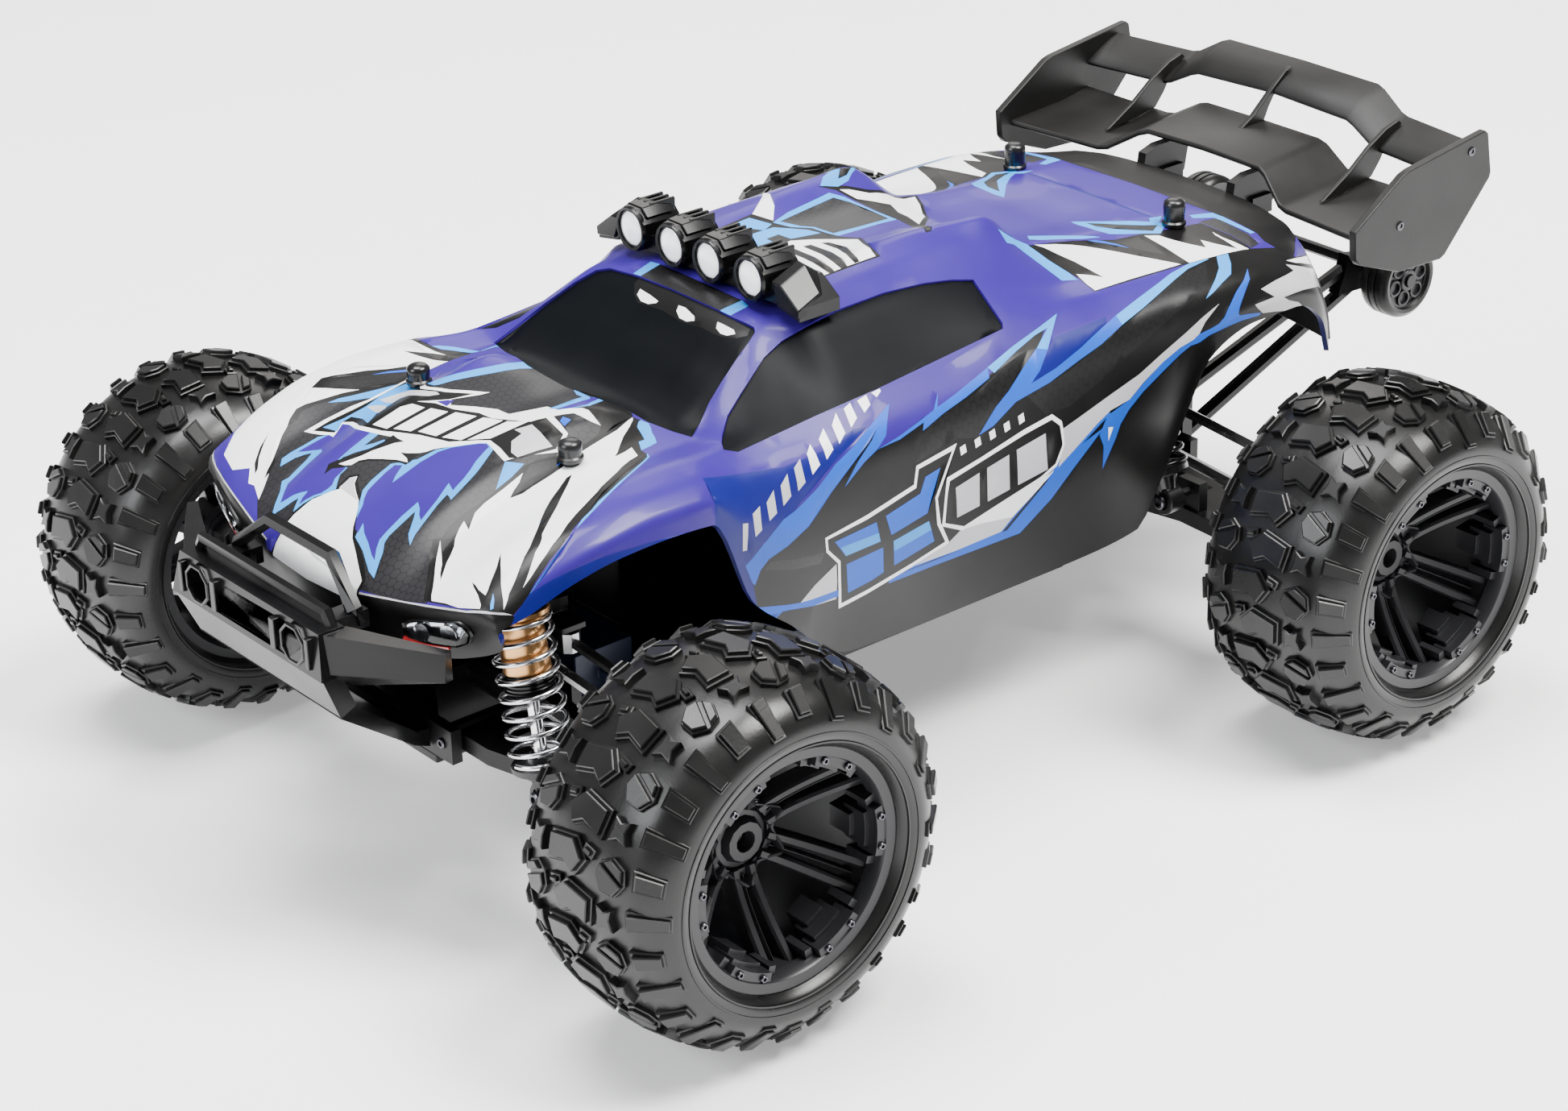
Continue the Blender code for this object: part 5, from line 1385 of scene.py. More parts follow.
              (-2, 29.2), (-5, 30.4), (-8, 31.9), (-9.5, 33.7), (-10.8, 32.4), (-10.6, 30.3), (-10.1, 28.9),
              (-12, 27),
              (-13.1, 25.2), (-14.6, 23.6), (-15.2, 22), (-16.1, 18.9)], False),
    (GREY, [(-10.6, 29.2), (-1.8, 29), (-5, 30.2), (-8, 31.7), (-9.5, 33.4), (-10.7, 32.3)], False),
    # truck-left bolt
    (SKY, [(23.2, 15.8), (20, 16.6), (16.8, 18), (13, 19.6), (7.5, 21.3), (5.9, 24.2), (3, 25.2),
           (0.3, 27.4),
           (-1.9, 29.6), (-4.1, 31.7), (-5.1, 34.7), (-5.4, 38), (-5.5, 40.7), (-3.6, 42.6), (-1, 45.2),
           (0.1, 49.8),
           (2.8, 52.4), (8, 56), (10.5, 57.2), (13.2, 56.6), (14.9, 55.8), (17.9, 51.4), (19.8, 48.3),
           (20.7, 46.3),
           (21.8, 43), (22.5, 40.5), (23, 38.4), (21.4, 39), (20, 39.3), (20.9, 36), (22.1, 33),
           (23.2, 29.8),
           (23.9, 27.3), (25, 24.7), (23.2, 25.9), (21.9, 26.8), (20, 29.1), (18.1, 31.2), (16.7, 32.4),
           (16.9, 28.2),
           (16.8, 24.7), (17.3, 22.9), (19.4, 20.8), (20.8, 18.9)], False),
    (PAINT, [(19, 18.8), (16.8, 19.5), (12.4, 21.5), (8.9, 23), (6, 24.9), (7.2, 22.3), (5.4, 22.9),
             (3.6, 24.5),
             (2.4, 25.9), (0.6, 28.6), (-1.4, 30.4), (-2.9, 32.4), (-3.6, 35.1), (-4.2, 38.4), (-4.3, 41),
             (-2.5, 42),
             (-1, 39), (0.4, 37.2), (0.6, 45), (1.5, 49.5), (3.1, 52), (5.6, 54), (8.7, 56.2), (10.5, 56.8),
             (12.6, 56.2), (13.1, 54.8), (15.1, 50.9), (17.2, 47.9), (18.8, 44.9), (19.9, 41.6),
             (20.2, 40.9),
             (16.2, 42.4), (17.5, 40), (19.1, 37), (20.2, 34.1), (21.4, 30.8), (19.1, 31.9), (17, 33.5),
             (14.2, 34.9),
             (14.4, 30), (14.8, 25.9), (15, 23.1), (16.5, 21)], False),
    # truck-right bolt
    (SKY, [(-23.3, 16.3), (-21.5, 18.5), (-20.2, 20.8), (-19.3, 21.9), (-18.2, 20.3), (-17.1, 19.2),
           (-16.2, 21.6),
           (-14.6, 24.2), (-12.4, 26.2), (-10.9, 28.4), (-12.5, 29.8), (-14.3, 31.6), (-14.6, 34),
           (-19, 33.5),
           (-19.8, 44.5), (-25, 43.6), (-30.2, 45), (-32.7, 45.4), (-35, 44.6), (-34.4, 40), (-36.3, 37.6),
           (-37, 33.7), (-38, 30.1), (-38.4, 27.5), (-36.4, 25.8), (-35.1, 29.9), (-33.6, 32.3),
           (-32.1, 33.5),
           (-31, 31.3), (-30.3, 28.2), (-29.8, 25), (-31, 23.4), (-27.8, 20.9), (-25.4, 18.3)], False),
    (PAINT, [(-24, 19), (-21.9, 21.7), (-20.3, 23.1), (-18.4, 24.4), (-18.2, 22.5), (-17.3, 20.9),
             (-16.7, 22.4),
             (-15.4, 24.3), (-13.8, 25.8), (-13.2, 27.5), (-13.2, 28.7), (-14.5, 30.3), (-15, 33.8),
             (-18.2, 32),
             (-19.3, 30.9), (-20.8, 32), (-19.6, 34), (-19.9, 38), (-20.2, 44), (-22.1, 43.5), (-25, 43.2),
             (-28, 43.8), (-30.2, 44.6), (-32.7, 45.1), (-34.8, 44.3), (-33.4, 42.2), (-32.2, 40),
             (-34.4, 39.9),
             (-35.3, 36.4), (-36.1, 32.8), (-36.4, 31.3), (-34.5, 32.9), (-32.2, 34.6), (-30.2, 35.3),
             (-28.7, 34.5),
             (-28.2, 30.1), (-27.6, 26), (-27.7, 23.4), (-26.1, 21.2)], False),
    (SKY, [(-19, 35.4), (-17.5, 38), (-15.6, 40.2), (-14.3, 42.1), (-13.6, 44.6), (-14.5, 44.6),
           (-15.9, 42.3),
           (-17.5, 40.5), (-17.7, 44.8), (-19.8, 44.6)], False),
    # panel across the hood: black with a white frame, blue bars at one end and plain slashes along it
    (BRIGHT, [(-41.4, 36.2), (-38.7, 37.4), (-36, 38.8), (-34.2, 40), (-32.2, 40.1), (-33.4, 42.2),
              (-34.9, 44.4),
              (-32.7, 45.2), (-30.2, 44.7), (-28, 43.9), (-25, 43.3), (-22, 43.6), (-18, 44.8),
              (-13.9, 46.2),
              (-8, 50), (0, 52), (10, 57.2), (22.8, 53.8), (28.4, 65), (25.4, 70), (15.4, 72.6), (9, 75),
              (2.4, 68.7),
              (-2, 68.5), (-6.9, 65.4), (-12, 61.9), (-14, 63.4), (-9.8, 69.2), (-8.9, 71.2), (-14, 68),
              (-18, 65.5),
              (-21, 64.2), (-23.5, 63.2), (-26, 63.6), (-29, 65.4), (-32.2, 67.1), (-36, 69.4),
              (-38.8, 69.4),
              (-38.1, 62), (-38.4, 54.3), (-39.8, 50), (-40.8, 42)], False),
    (COAL, [(-39.6, 38), (-36, 40), (-33.6, 41.3), (-35.5, 44.8), (-32.7, 46.4), (-30, 45.9), (-27.5, 45),
            (-25, 44.6),
            (-22, 44.9), (-18, 46.1), (-13.3, 48.3), (-8, 50.7), (0, 53.4), (7, 57), (10, 58.2),
            (15.8, 57.1),
            (22.8, 55.2), (24.9, 56.6), (27.4, 65), (25, 69), (13.8, 71.4), (12, 68.4), (5, 66.6),
            (0, 65.4),
            (-4, 64.6), (-10, 61.4), (-16, 60), (-20.6, 57.6), (-14.4, 63), (-11.4, 68.4), (-18, 64.2),
            (-21.4, 62.8),
            (-24, 62), (-27, 62.6), (-32.4, 65.9), (-36.4, 68), (-37.6, 65.6), (-37.2, 57), (-37.8, 50),
            (-39.2, 43)], False),
    (SKY, [(-38.4, 40.4), (-33.4, 42.1), (-35.6, 44.8), (-35.4, 47.4), (-31, 48.2), (-25, 46), (-26, 48),
           (-27.8, 50.4),
           (-28.4, 55.6), (-31.2, 62.6), (-29.5, 63.6), (-33.1, 65.6), (-35.1, 66.1), (-36.5, 64.4),
           (-37.5, 59.8),
           (-36, 52), (-36.6, 46)], False),
    (GREY, [(-35.6, 52.3), (-31, 51.6), (-27.3, 50.6), (-27.6, 53), (-29.8, 54.5), (-32.5, 54.5),
            (-34.6, 53.5)], False),
    (GREY, [(-35.4, 56), (-32, 55.8), (-28.6, 55.5), (-28.8, 57.9), (-26.9, 59), (-24, 58.9), (-20.1, 60.6),
            (-18.4, 62.7), (-20, 62.9), (-24, 61.4), (-27.8, 62), (-31.2, 62.7), (-33.6, 60.3)], False),
    (BRIGHT, [(-22.6, 46), (-17.6, 47.2), (-16.6, 57.4), (-20.8, 56.4), (-22.4, 54)], False),
    (BRIGHT, [(-16, 48.2), (-11.2, 50.2), (-10.2, 60), (-15, 58.2)], False),
    (BRIGHT, [(-9.6, 51.2), (-4.4, 52.8), (-3.4, 63.4), (-8.6, 61)], False),
    (BRIGHT, [(-2.8, 53.4), (2.4, 55.2), (4, 65.8), (-1.8, 64.2)], False),
    (BRIGHT, [(3.9, 56), (9.2, 58.8), (11.2, 68), (5.5, 66)], False),
    (GREY, [(15.2, 63.6), (16, 60.2), (21, 56.9), (24.2, 56.6), (25.4, 61.2), (26.4, 64.8), (20, 66),
            (13.6, 67.6),
            (11.4, 64)], False),
    (COAL, [(-20.8, 32), (-19.6, 30.6), (-18.8, 29.5), (-18.4, 31.6), (-15, 33.9), (-14.2, 35.6),
            (-12, 37.8),
            (-8.9, 39.7), (-5.5, 41.5), (-3.2, 42.3), (-1.9, 42.5), (-1.7, 44), (-2.4, 46), (-1.8, 47.6),
            (-6, 46),
            (-14, 47), (-14, 44), (-15.4, 40), (-19.6, 34)], False),
    (BRIGHT, [(-18.1, 33.4), (-16, 34), (-14.5, 35), (-13.9, 37), (-12.2, 38.6), (-8.9, 40.5), (-5.5, 42.3),
              (-2.2, 43.3), (-3.6, 44), (-6.9, 44.3), (-5, 45.1), (-2.5, 46.8), (-1.3, 48.1), (-0.8, 49.3),
              (0.6, 50.9),
              (3.1, 52.5), (5.6, 54.4), (8.2, 56.2), (10.3, 57.1), (10, 58), (7, 56.8), (3, 54.2),
              (0.1, 52.7),
              (-4.5, 51.6), (-8, 50.3), (-13.3, 48.2), (-14.2, 46.9), (-12, 46.8), (-9.3, 47.1),
              (-11, 45.4),
              (-12.4, 43), (-13.8, 40.7), (-15, 37.9), (-17, 35)], False),
    (BRIGHT, [(2.4, 68.7), (5, 66.8), (11, 67.8), (15.6, 72.7), (17.2, 74.5), (19.1, 76.1), (21.9, 76),
              (25.1, 76.6),
              (26.9, 78.1), (23.7, 78.4), (20.9, 79.2), (18.4, 79.2), (15.8, 77.3), (13.5, 75.2),
              (9.3, 75.2),
              (7, 72.6), (5, 70.3)], False),
    (AZURE, [(18.1, 73.6), (19.5, 71.8), (22.8, 70.9), (21.6, 73.6)], False),
    (PAINT, [(-16.4, 60.6), (-12.4, 61), (-13, 63.5), (-14.5, 62.6)], False),
    # bands that run up to the screen
    (SKY, [(-30, 66.4), (-26.1, 64.7), (-23.5, 64.2), (-22.4, 65), (-20.7, 68.3), (-18.2, 71.8),
           (-15.4, 75.9),
           (-13.6, 80.1), (-12.9, 84), (-12.4, 88.5), (-30, 93), (-36, 80)], False),
    (PAINT, [(-37.7, 70), (-36, 69.6), (-32, 67.5), (-28.6, 66.4), (-24.9, 68.5), (-22.6, 70.8),
             (-20, 74.5),
             (-18, 78.2), (-16.9, 82.4), (-16.8, 85.6), (-18, 90.4), (-30, 94.4), (-37.7, 96)], False),
    (SKY, [(10.7, 74.5), (13.1, 75.5), (15.8, 77.3), (18.7, 81.5), (17.9, 84), (15.8, 88), (13.8, 92.4),
           (13.1, 92),
           (12.8, 89.6), (11.4, 87.6), (4.5, 88.9), (3.8, 88.6), (8, 85.9), (11, 85.4), (11.8, 81.9),
           (11.7, 77.8)], False),
    (PAINT, [(13.1, 75.5), (15.8, 77.5), (17, 79.7), (17.4, 81.5), (16.3, 84), (14.4, 87.5), (13.1, 89.6),
             (11.4, 87.6),
             (13.3, 86.1), (14.1, 83.1), (14, 78.9)], False),
    # header over the screen
    (SKY, [(-14.4, 128.6), (-17.6, 128.6), (-18.6, 135.6), (-14.6, 135.8), (21.4, 136), (25.2, 135.4),
           (25.4, 129.4),
           (20.6, 129)], False),
    (COMB_DARK, [(-14, 128.5), (-14.4, 135.8), (21.4, 136), (21, 129)], False),
    # flank: ground, then the blue edge with its teeth
    (COAL, [(92.5, 97), (87.5, 99.2), (83.9, 102), (79.4, 108.6), (75.5, 115.8), (70.3, 126), (66, 135),
            (61.6, 144.4),
            (65.4, 142.4), (64.6, 150), (63.2, 159), (65, 158), (63.9, 165), (63, 173), (61.4, 182),
            (59.5, 193),
            (57, 206), (60, 201), (64, 197), (66.6, 190), (66.4, 200), (65.4, 210), (64.2, 220),
            (62.8, 229),
            (61, 238), (59.2, 247), (57.4, 257), (55.6, 265), (54.8, 275), (55.2, 289), (56, 300),
            (60, 306),
            (57, 318.3), (97.5, 318.3), (97.5, 99)], True),
    (COMB_DARK, [(84.4, 103), (87, 101), (85, 112), (83.4, 122), (81.2, 123), (82.6, 112)], True),
    (COMB_DARK, [(64.2, 160), (69.8, 154), (68.6, 168), (70, 176), (66.4, 182), (65, 186), (63.4, 190),
                 (60, 197),
                 (61.4, 186), (63.4, 174)], True),
    (COMB_DARK, [(67, 192), (70.6, 198), (71, 206), (70, 216), (68.6, 228), (67, 240), (65.6, 252),
                 (63.8, 262),
                 (61, 268), (56, 272), (57.6, 259), (60.4, 244), (64, 224), (66.4, 206)], True),
    (AZURE, [(92.5, 96.8), (90.5, 93.9), (85.7, 96.4), (80.7, 100), (77, 103.2), (73.9, 107.7), (71.5, 114),
             (68.9, 121.4), (65.7, 128.6), (63.5, 135.9), (61.2, 142.3), (58.4, 151.4), (61.2, 148.4),
             (63.7, 146.2),
             (65.5, 142.3), (67, 137.6), (70.3, 130.3), (66.5, 135.8), (63.6, 141.6), (61.9, 144.4),
             (63.7, 140.6),
             (66.5, 134.3), (70.3, 126), (73.5, 119.8), (75.5, 116), (79.4, 108.8), (83.9, 102.3),
             (87.5, 99.6),
             (92.5, 97.8)], True),
    (AZURE, [(65.5, 142.3), (64.6, 150), (63.3, 159), (62.8, 162.4), (60.2, 165.9), (62.6, 163.8),
             (61.8, 170),
             (60.7, 177.7), (60, 183), (61.8, 182), (63, 173), (63.9, 165), (65.3, 157.5), (64, 158.4),
             (65.2, 150)], True),
    (SKY, [(60, 183), (58.5, 193.2), (56.9, 203.2), (55.1, 212.1), (58.5, 207), (61.5, 202.5),
           (60.6, 199.4),
           (57.4, 206.4), (58, 201.4), (59.6, 193.2), (61.4, 184)], True),
    (AZURE, [(69.4, 175), (66.5, 181.5), (65, 186.5), (62.5, 193.5), (60.5, 199.5), (61.5, 202.5),
             (64.2, 197.7),
             (65.5, 194), (64.9, 203), (63.6, 212.7), (61.7, 222.7), (60.4, 229), (62.9, 229), (64.5, 220),
             (65.5, 210),
             (66.6, 200), (67.1, 188.2), (69, 180)], True),
    (SKY, [(60.4, 229), (58.5, 239), (57, 248.2), (55.5, 258.2), (54.4, 267.3), (54.3, 274), (55.1, 274),
           (56, 265.5),
           (57.7, 257.3), (59.5, 246.4), (61.3, 238.2), (62.9, 229)], True),
    (SKY, [(66.8, 262.7), (65.7, 266.4), (63.9, 270.5), (62.1, 275.5), (58.9, 278.6), (54.8, 281.4),
           (54.6, 277.3),
           (58.9, 274.1), (61.8, 270), (64.4, 265.9)], True),
    # hatch along the upper edge
    (GREY, [(77.2, 93.1), (87.3, 92.8), (85, 94.3), (76, 95.2)], True),
    (GREY, [(73.3, 97.7), (78.9, 97.5), (76.5, 100), (71.2, 100.9)], True),
    (GREY, [(70.4, 103.4), (74.4, 103), (72.6, 106), (67.7, 106.5)], True),
    (GREY, [(66.9, 109), (71.1, 108.6), (69.3, 111.6), (64.5, 112.2)], True),
    (GREY, [(63.8, 114.9), (68.6, 114.2), (67.3, 117.2), (62.5, 117.9)], True),
    (BRIGHT, [(62, 120.8), (66.3, 120.2), (64.8, 123.6), (60.3, 123.5)], True),
    (BRIGHT, [(60, 126.9), (64.3, 126.3), (62.9, 129.5), (58.1, 130.1)], True),
    (BRIGHT, [(58.2, 132.9), (62.3, 132), (60.6, 135.2), (56.1, 135.9)], True),
    (BRIGHT, [(55.9, 138.6), (60, 137.6), (58.6, 140.6), (55.3, 141.1)], True),
    (BRIGHT, [(55.5, 143.3), (58.2, 143.4), (57.2, 146.2), (55.2, 146.5)], True),
    (BRIGHT, [(55.2, 148.2), (56.4, 149), (55.6, 151), (55.1, 151)], True),
    # lower line and the greys beside it
    (GREY, [(93.4, 114.4), (87.5, 121.4), (83.5, 128.6), (86.5, 130.5), (89.4, 131.8), (91.5, 122)], True),
    (AZURE, [(97.5, 103.5), (94.4, 112), (91.6, 121.8), (89.2, 131), (87.6, 142), (86.9, 150), (86.5, 165),
             (86.7, 180),
             (86.5, 187.3), (80, 200.5), (78.5, 205), (76.6, 211), (75.2, 219.5), (76.8, 217.4),
             (79.4, 220),
             (83.6, 222.3), (79.4, 224.7), (77.3, 225.5), (76.3, 228), (75.4, 233), (75, 240), (74.9, 247),
             (75.5, 252), (77.5, 256.8), (75.3, 256.8), (74.7, 252.7), (73.7, 246.8), (73.5, 240),
             (74.2, 233),
             (75, 228), (75, 221), (74, 219), (75, 212), (77, 204), (82, 195), (86, 187), (85.4, 180),
             (85.5, 165),
             (85.9, 150), (86.8, 141), (88, 131), (90.4, 121), (93.4, 111), (97.5, 99.6)], True),
    (AZURE, [(97.5, 99.6), (93.4, 111.4), (97.5, 107)], True),
    (AZURE, [(88, 150), (87.6, 165), (87.9, 195), (84, 203.6), (80, 209.6), (77.8, 214), (76.2, 218.6),
             (76.6, 211),
             (80, 200.5), (86.5, 187.3), (86.7, 165), (87, 150)], True),
    (GREY, [(73.5, 203.4), (78.6, 203), (77.2, 206.6), (76.2, 211), (75.2, 216), (74.6, 221), (75, 228),
            (74.1, 233),
            (73.5, 240), (73.7, 247), (75, 253.5), (75.2, 256.6), (73.5, 260), (70.3, 267), (71.7, 259),
            (71.8, 250),
            (71.9, 240), (72.4, 231.8), (72.5, 220), (73, 210)], True),
    (GREY, [(86.4, 158), (84.4, 168), (82.5, 172.3), (81, 184), (79.4, 199.4), (84.4, 190), (86.2, 187.3),
            (86.4, 172)], True),
    (BRIGHT, [(83, 171.4), (83.2, 178), (84.3, 190), (80.4, 198.4), (78.8, 201.6), (80.4, 190),
              (81.8, 180)], True),
    (COAL, [(86.4, 187.6), (80.2, 198.6), (79.8, 200.6), (86.4, 189.4)], True),
    (BRIGHT, [(76.6, 220.6), (79, 221.6), (77, 222.6)], True),
    # badge panels: framed in white, with slanted bars and no lettering
    (BRIGHT, [(78.1, 122.4), (81.2, 123.6), (83.4, 129.2), (90.9, 133.7), (88.6, 143), (86.4, 157),
              (84.4, 168.2),
              (80.3, 163), (76, 160.5), (69.2, 167.6), (70.3, 154), (73, 152.7), (75.6, 137)], True),
    (COAL, [(78.6, 123.4), (80.8, 124.3), (83, 129.9), (90, 134.2), (87.9, 143), (85.7, 157), (84, 166.6),
            (80.4, 161.9), (75.8, 159.7), (70, 165.9), (70.9, 154.6), (73.6, 153.3), (76.2, 137.2)], True),
    (AZURE, [(79.3, 126.4), (82.2, 131.6), (80.4, 143), (76.8, 140.4)], True),
    (AZURE, [(83.6, 132.6), (88.2, 135.8), (85.8, 147), (81.6, 144.4)], True),
    (AZURE, [(76.3, 143.4), (79.8, 146.4), (77.6, 157.6), (71.8, 161.6), (72.4, 156.6),
             (74.6, 154.6)], True),
    (AZURE, [(81, 147.6), (85.2, 150.2), (83.2, 162.4), (79.2, 158.6)], True),
    (SKY, [(80.6, 129), (82.2, 131.6), (80.4, 143), (78.8, 141.8)], True),
    (SKY, [(81, 147.6), (82.8, 148.8), (81, 160.2), (79.2, 158.6)], True),
    (BRIGHT, [(73.6, 163.5), (75.5, 163), (81, 163.8), (83.2, 172), (81.4, 184), (79.6, 197), (78.2, 202.2),
              (75.6, 204.2), (72.4, 203.2), (70.9, 200), (71.3, 190), (72.6, 175)], True),
    (COAL, [(74.2, 164.4), (75.8, 163.8), (80.6, 164.6), (82.5, 172), (80.7, 184), (78.9, 196.8),
            (77.6, 201.6),
            (75.5, 203.4), (72.9, 202.5), (71.6, 199.8), (72, 190), (73.2, 175)], True),
    (GREY, [(75.4, 166.4), (80.4, 168.6), (79.8, 176), (74.6, 174.4)], True),
    (GREY, [(74.4, 177), (79.6, 178.7), (78.9, 186), (73.8, 184.6)], True),
    (GREY, [(73.6, 187.2), (78.7, 188.8), (78, 199), (73, 197.4)], True),
    (BRIGHT, [(70, 168.4), (71.2, 168.7), (71, 170.6), (69.8, 170.3)], True),
    (BRIGHT, [(69.8, 173.4), (71, 173.7), (70.8, 175.6), (69.6, 175.3)], True),
    (BRIGHT, [(69.6, 178.4), (70.8, 178.7), (70.6, 180.6), (69.4, 180.3)], True),
    (BRIGHT, [(69.4, 183.4), (70.6, 183.7), (70.4, 185.6), (69.2, 185.3)], True),
    (BRIGHT, [(69.2, 188.4), (70.4, 188.7), (70.2, 190.6), (69, 190.3)], True),
    # behind the rear arch
    (AZURE, [(75.3, 256.8), (77.5, 256.8), (79.5, 260.5), (81.6, 264.5), (84.1, 269), (87.5, 274),
             (91.6, 280.3),
             (88.8, 281), (84.1, 276.4), (80.5, 272.9), (78.5, 272.5), (75.3, 273.2), (71.2, 275.9),
             (66.2, 279.8),
             (62.3, 281.7), (65.7, 277.7), (68.9, 273.6), (73, 270), (75.9, 267.6), (77.1, 265.3),
             (76.8, 261.8)], True),
    (GREY, [(77.5, 278.6), (82.1, 279.5), (90.3, 281.8), (93.5, 286.4), (97.5, 290.7), (97.5, 298),
            (92.1, 296.4),
            (85.3, 292.3), (79.5, 290), (78.5, 293.6), (76.6, 299), (74.4, 305), (71.2, 311.8),
            (68.5, 318.3),
            (62, 318.3), (64.4, 304.5), (63.7, 297.3), (66.9, 299), (68.5, 294.5), (69.8, 289),
            (71.6, 282.3),
            (76.8, 286.5)], True),
    (BRIGHT, [(62.1, 299), (63, 303), (60.6, 318.3), (57.5, 318.3), (60.4, 306)], True),
    # roof: the first two SKY shapes on the black panel read like letters and should be replaced
    (BRIGHT, [(-19.8, 170), (-15, 174), (-20.4, 178.8), (-27.3, 183), (-34.8, 186.5), (-28, 181),
              (-24.1, 176.3)], False),
    (COAL, [(-20.6, 157), (-9, 158.6), (0, 160.4), (10, 160.6), (27, 157.6), (28.4, 175.4), (18, 179.6),
            (10, 184.4),
            (4.4, 181.4), (-6, 180.8), (-10.6, 176.6), (-20.8, 171.4)], False),
    (SKY, [(-19.8, 158), (-15.4, 158.8), (-13.8, 161.6), (-14.6, 167), (-12.4, 169), (-14, 172.8),
           (-19.8, 169.6)], False),
    (SKY, [(-12.6, 159.6), (-2, 161.4), (-3.6, 166), (-7.6, 166), (-8, 170.4), (-3.4, 171), (-1.6, 179.6),
           (-5.6, 178.4),
           (-9.6, 175), (-12.4, 172)], False),
    (BRIGHT, [(-0.4, 161.6), (26.4, 158.4), (27.6, 174.4), (18, 178.4), (10, 183), (4, 178), (0.6, 175),
              (-2.4, 170)], False),
    (COAL, [(3, 164.4), (12, 163.6), (26.6, 160), (26.7, 161.6), (13, 166), (3.6, 167)], False),
    (COAL, [(3.4, 169.6), (13, 168.4), (26.9, 163.6), (27, 165.6), (14, 171), (3.8, 172)], False),
    (COAL, [(4.6, 174.6), (13, 173.8), (27.1, 168), (27.2, 169.4), (14, 176), (6, 176.4)], False),
    (SKY, [(-14.5, 173.5), (-16.3, 180), (-18, 196.5), (-15.5, 200), (-13, 201.5), (-6, 203), (2, 203),
           (3.2, 196),
           (3.6, 181.6), (0, 181), (-6, 180), (-10, 176)], False),
    (COMB, [(-14, 175.5), (-9, 178.5), (-6, 181), (0.8, 182), (1.4, 190), (0.3, 201.6), (-6, 202),
            (-13.3, 200),
            (-16.2, 196.3), (-15.2, 186.3)], False),
    (COAL, [(-21, 195), (-18, 199.4), (-13.6, 202), (-6, 203.2), (3, 203), (12, 200), (26, 192.2),
            (26, 194),
            (14, 202.4), (9, 206.6), (3, 213.4), (-3, 219.6), (-10, 225.4), (-17, 231), (-23.4, 234.4),
            (-21.4, 227),
            (-18, 221), (-17.2, 216), (-16.2, 210), (-18.4, 204)], False),
    (BRIGHT, [(-17.9, 200.8), (-14.1, 203.3), (-12.4, 208), (-11.1, 212.8), (-3.9, 208.9), (0.6, 208.3),
              (7.8, 205.6),
              (2.2, 212.2), (-3.3, 218.3), (-10, 223.9), (-16.7, 229.6), (-22.2, 232.8), (-20.4, 227.4),
              (-17.2, 221.1),
              (-16.3, 216.7), (-15.2, 209.4), (-17.2, 203.9)], False),
    (SKY, [(-20.8, 196), (-18.8, 201.3), (-19.5, 206.3), (-23.5, 213.1), (-25.4, 206),
           (-23.4, 200)], False),
    (COAL, [(-20.8, 203.6), (-21, 207.4), (-23.6, 211.6), (-24.2, 208)], False),
    # deck
    (SKY, [(27.2, 214.8), (31.1, 215.6), (29.8, 219.4), (31.1, 222.8), (34.4, 225), (41.3, 226.1),
           (42.8, 230.6),
           (38, 231.2), (32.8, 230), (25, 228.5), (24.7, 224)], True),
    (SKY, [(17.2, 236.3), (21, 233.2), (23, 236), (24.6, 242.2), (26.4, 249.2), (27.6, 258.2), (26.4, 256),
           (24.8, 250.6), (22.4, 244.3), (19.2, 239.4)], False),
    (COAL, [(25.5, 228.3), (28.6, 229.4), (32.8, 230), (37.6, 230.8), (42.2, 231.5), (46.5, 230.4),
            (52, 229.4),
            (53.8, 255), (54.4, 268), (55.3, 280), (55.4, 290), (45, 291.4), (34, 291), (32.6, 281),
            (31, 271),
            (30.4, 262), (28.3, 254), (26.4, 245), (25.3, 237)], True),
    (BRIGHT, [(25.3, 231), (27.2, 233.2), (31.4, 235.1), (35.6, 236.7), (41.1, 237.5), (46.3, 237.2),
              (44.2, 236.5),
              (41.8, 234.9), (40.3, 232.5), (46.5, 230.8), (51.5, 229.9), (52.2, 240.8), (53.1, 254.7),
              (53.6, 265.1),
              (50.8, 263.6), (46.3, 262), (41.8, 259.9), (38.7, 257.5), (35.6, 254.4), (32.6, 250.6),
              (30, 246.4),
              (27.9, 242.2), (26.3, 237.7)], True),
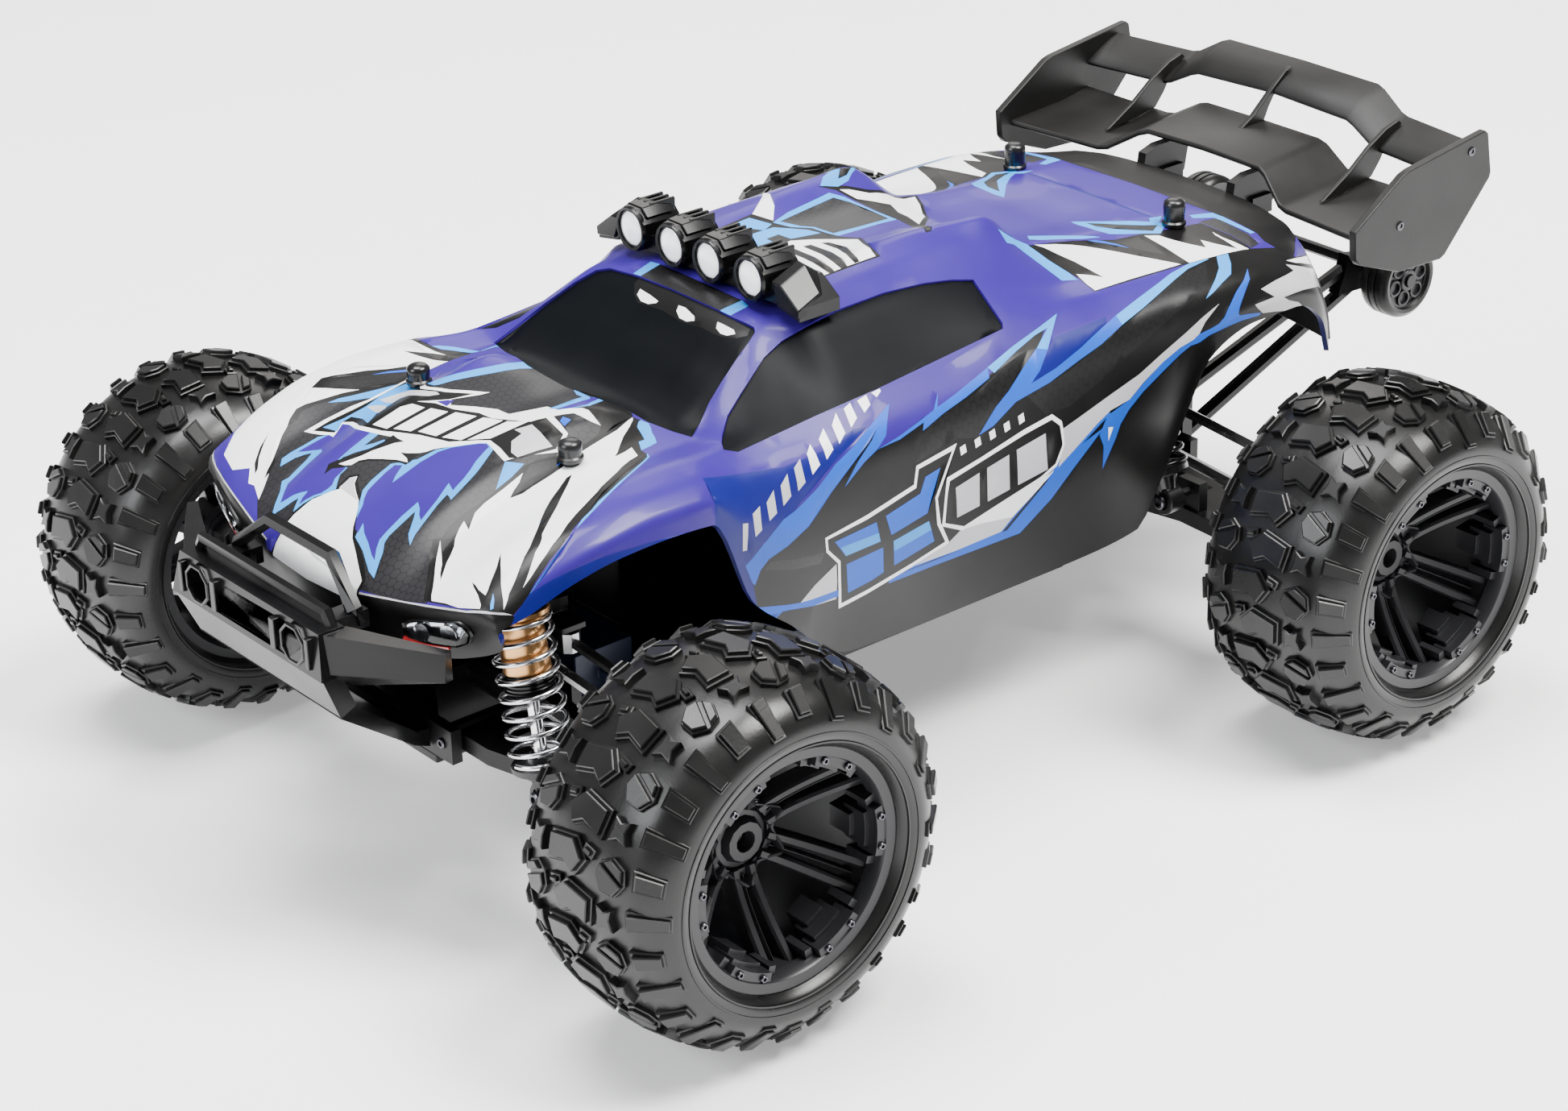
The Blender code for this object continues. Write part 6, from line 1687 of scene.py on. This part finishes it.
    (COMB_DARK, [(30.4, 260.6), (33, 261.8), (38, 262.8), (45.3, 266.8), (38.3, 268.8), (32.1, 269.6),
                 (31, 266)], True),
    (AZURE, [(27.7, 250.6), (28.3, 254), (29.7, 257), (32.4, 260.2), (36.3, 261.7), (34, 260), (31, 256.5),
             (29, 252.5)], True),
    (BRIGHT, [(32.2, 271.7), (41, 270.3), (48, 268.8), (54.2, 267.9), (55, 279.7), (55.2, 286.7),
              (55.3, 289.3),
              (50.1, 288.4), (45, 288), (40.3, 288.6), (42.8, 287.4), (48, 286.7), (54.4, 285.8),
              (51.9, 284),
              (48.1, 282.5), (43.2, 281.3), (46, 279.9), (48.9, 278.5), (43.9, 276.9), (38.7, 275.6),
              (34.2, 274.9)], True),
    (COMB, [(33, 291.2), (45, 291.6), (55.2, 290.2), (53.6, 295), (46, 297.4), (33.6, 297.6)], True),
    (SKY, [(28.3, 292.2), (30.4, 291.6), (33, 297.2), (36.3, 297.6), (46, 298.4), (45.4, 300.6),
           (30, 300)], True),
    (SKY, [(13, 262.2), (16.1, 261), (19.9, 260.8), (23.8, 260.6), (27.2, 263), (29, 267.2), (31, 272),
           (33.5, 276.3),
           (30, 281.5), (27.9, 281.1), (25.1, 284.6), (24.5, 280.5), (26.4, 279), (23.8, 274.9),
           (19.6, 269.7)], True),
    (COMB, [(16.8, 264.4), (21, 263.8), (25.1, 266.2), (27.9, 270.7), (31.2, 275.8), (29, 279.6),
            (27.2, 275.6),
            (23.8, 270), (20.3, 267.2)], True),
    (DEEP_BLUE_AND_SHADE, [(0, 281.8), (24, 281), (24.2, 282), (0, 282.8)], True),
    (COAL, [(0, 299), (28, 299.2), (36, 300.6), (46, 300.8), (52, 298.4), (58, 300.4), (60.4, 304),
            (57, 309),
            (53, 314), (49, 318.3), (0, 318.3)], True),
]


def everything():
    studio()
    camera()
    wheels()
    shocks()
    shell(LOOKS, LIVERY, WINDOWS)
    post_caps()
    headlights()
    tail_panels()
    light_bar()
    wing()
    wheelie_wheels()
    bumper()
    carried_over()
    screws()


everything()
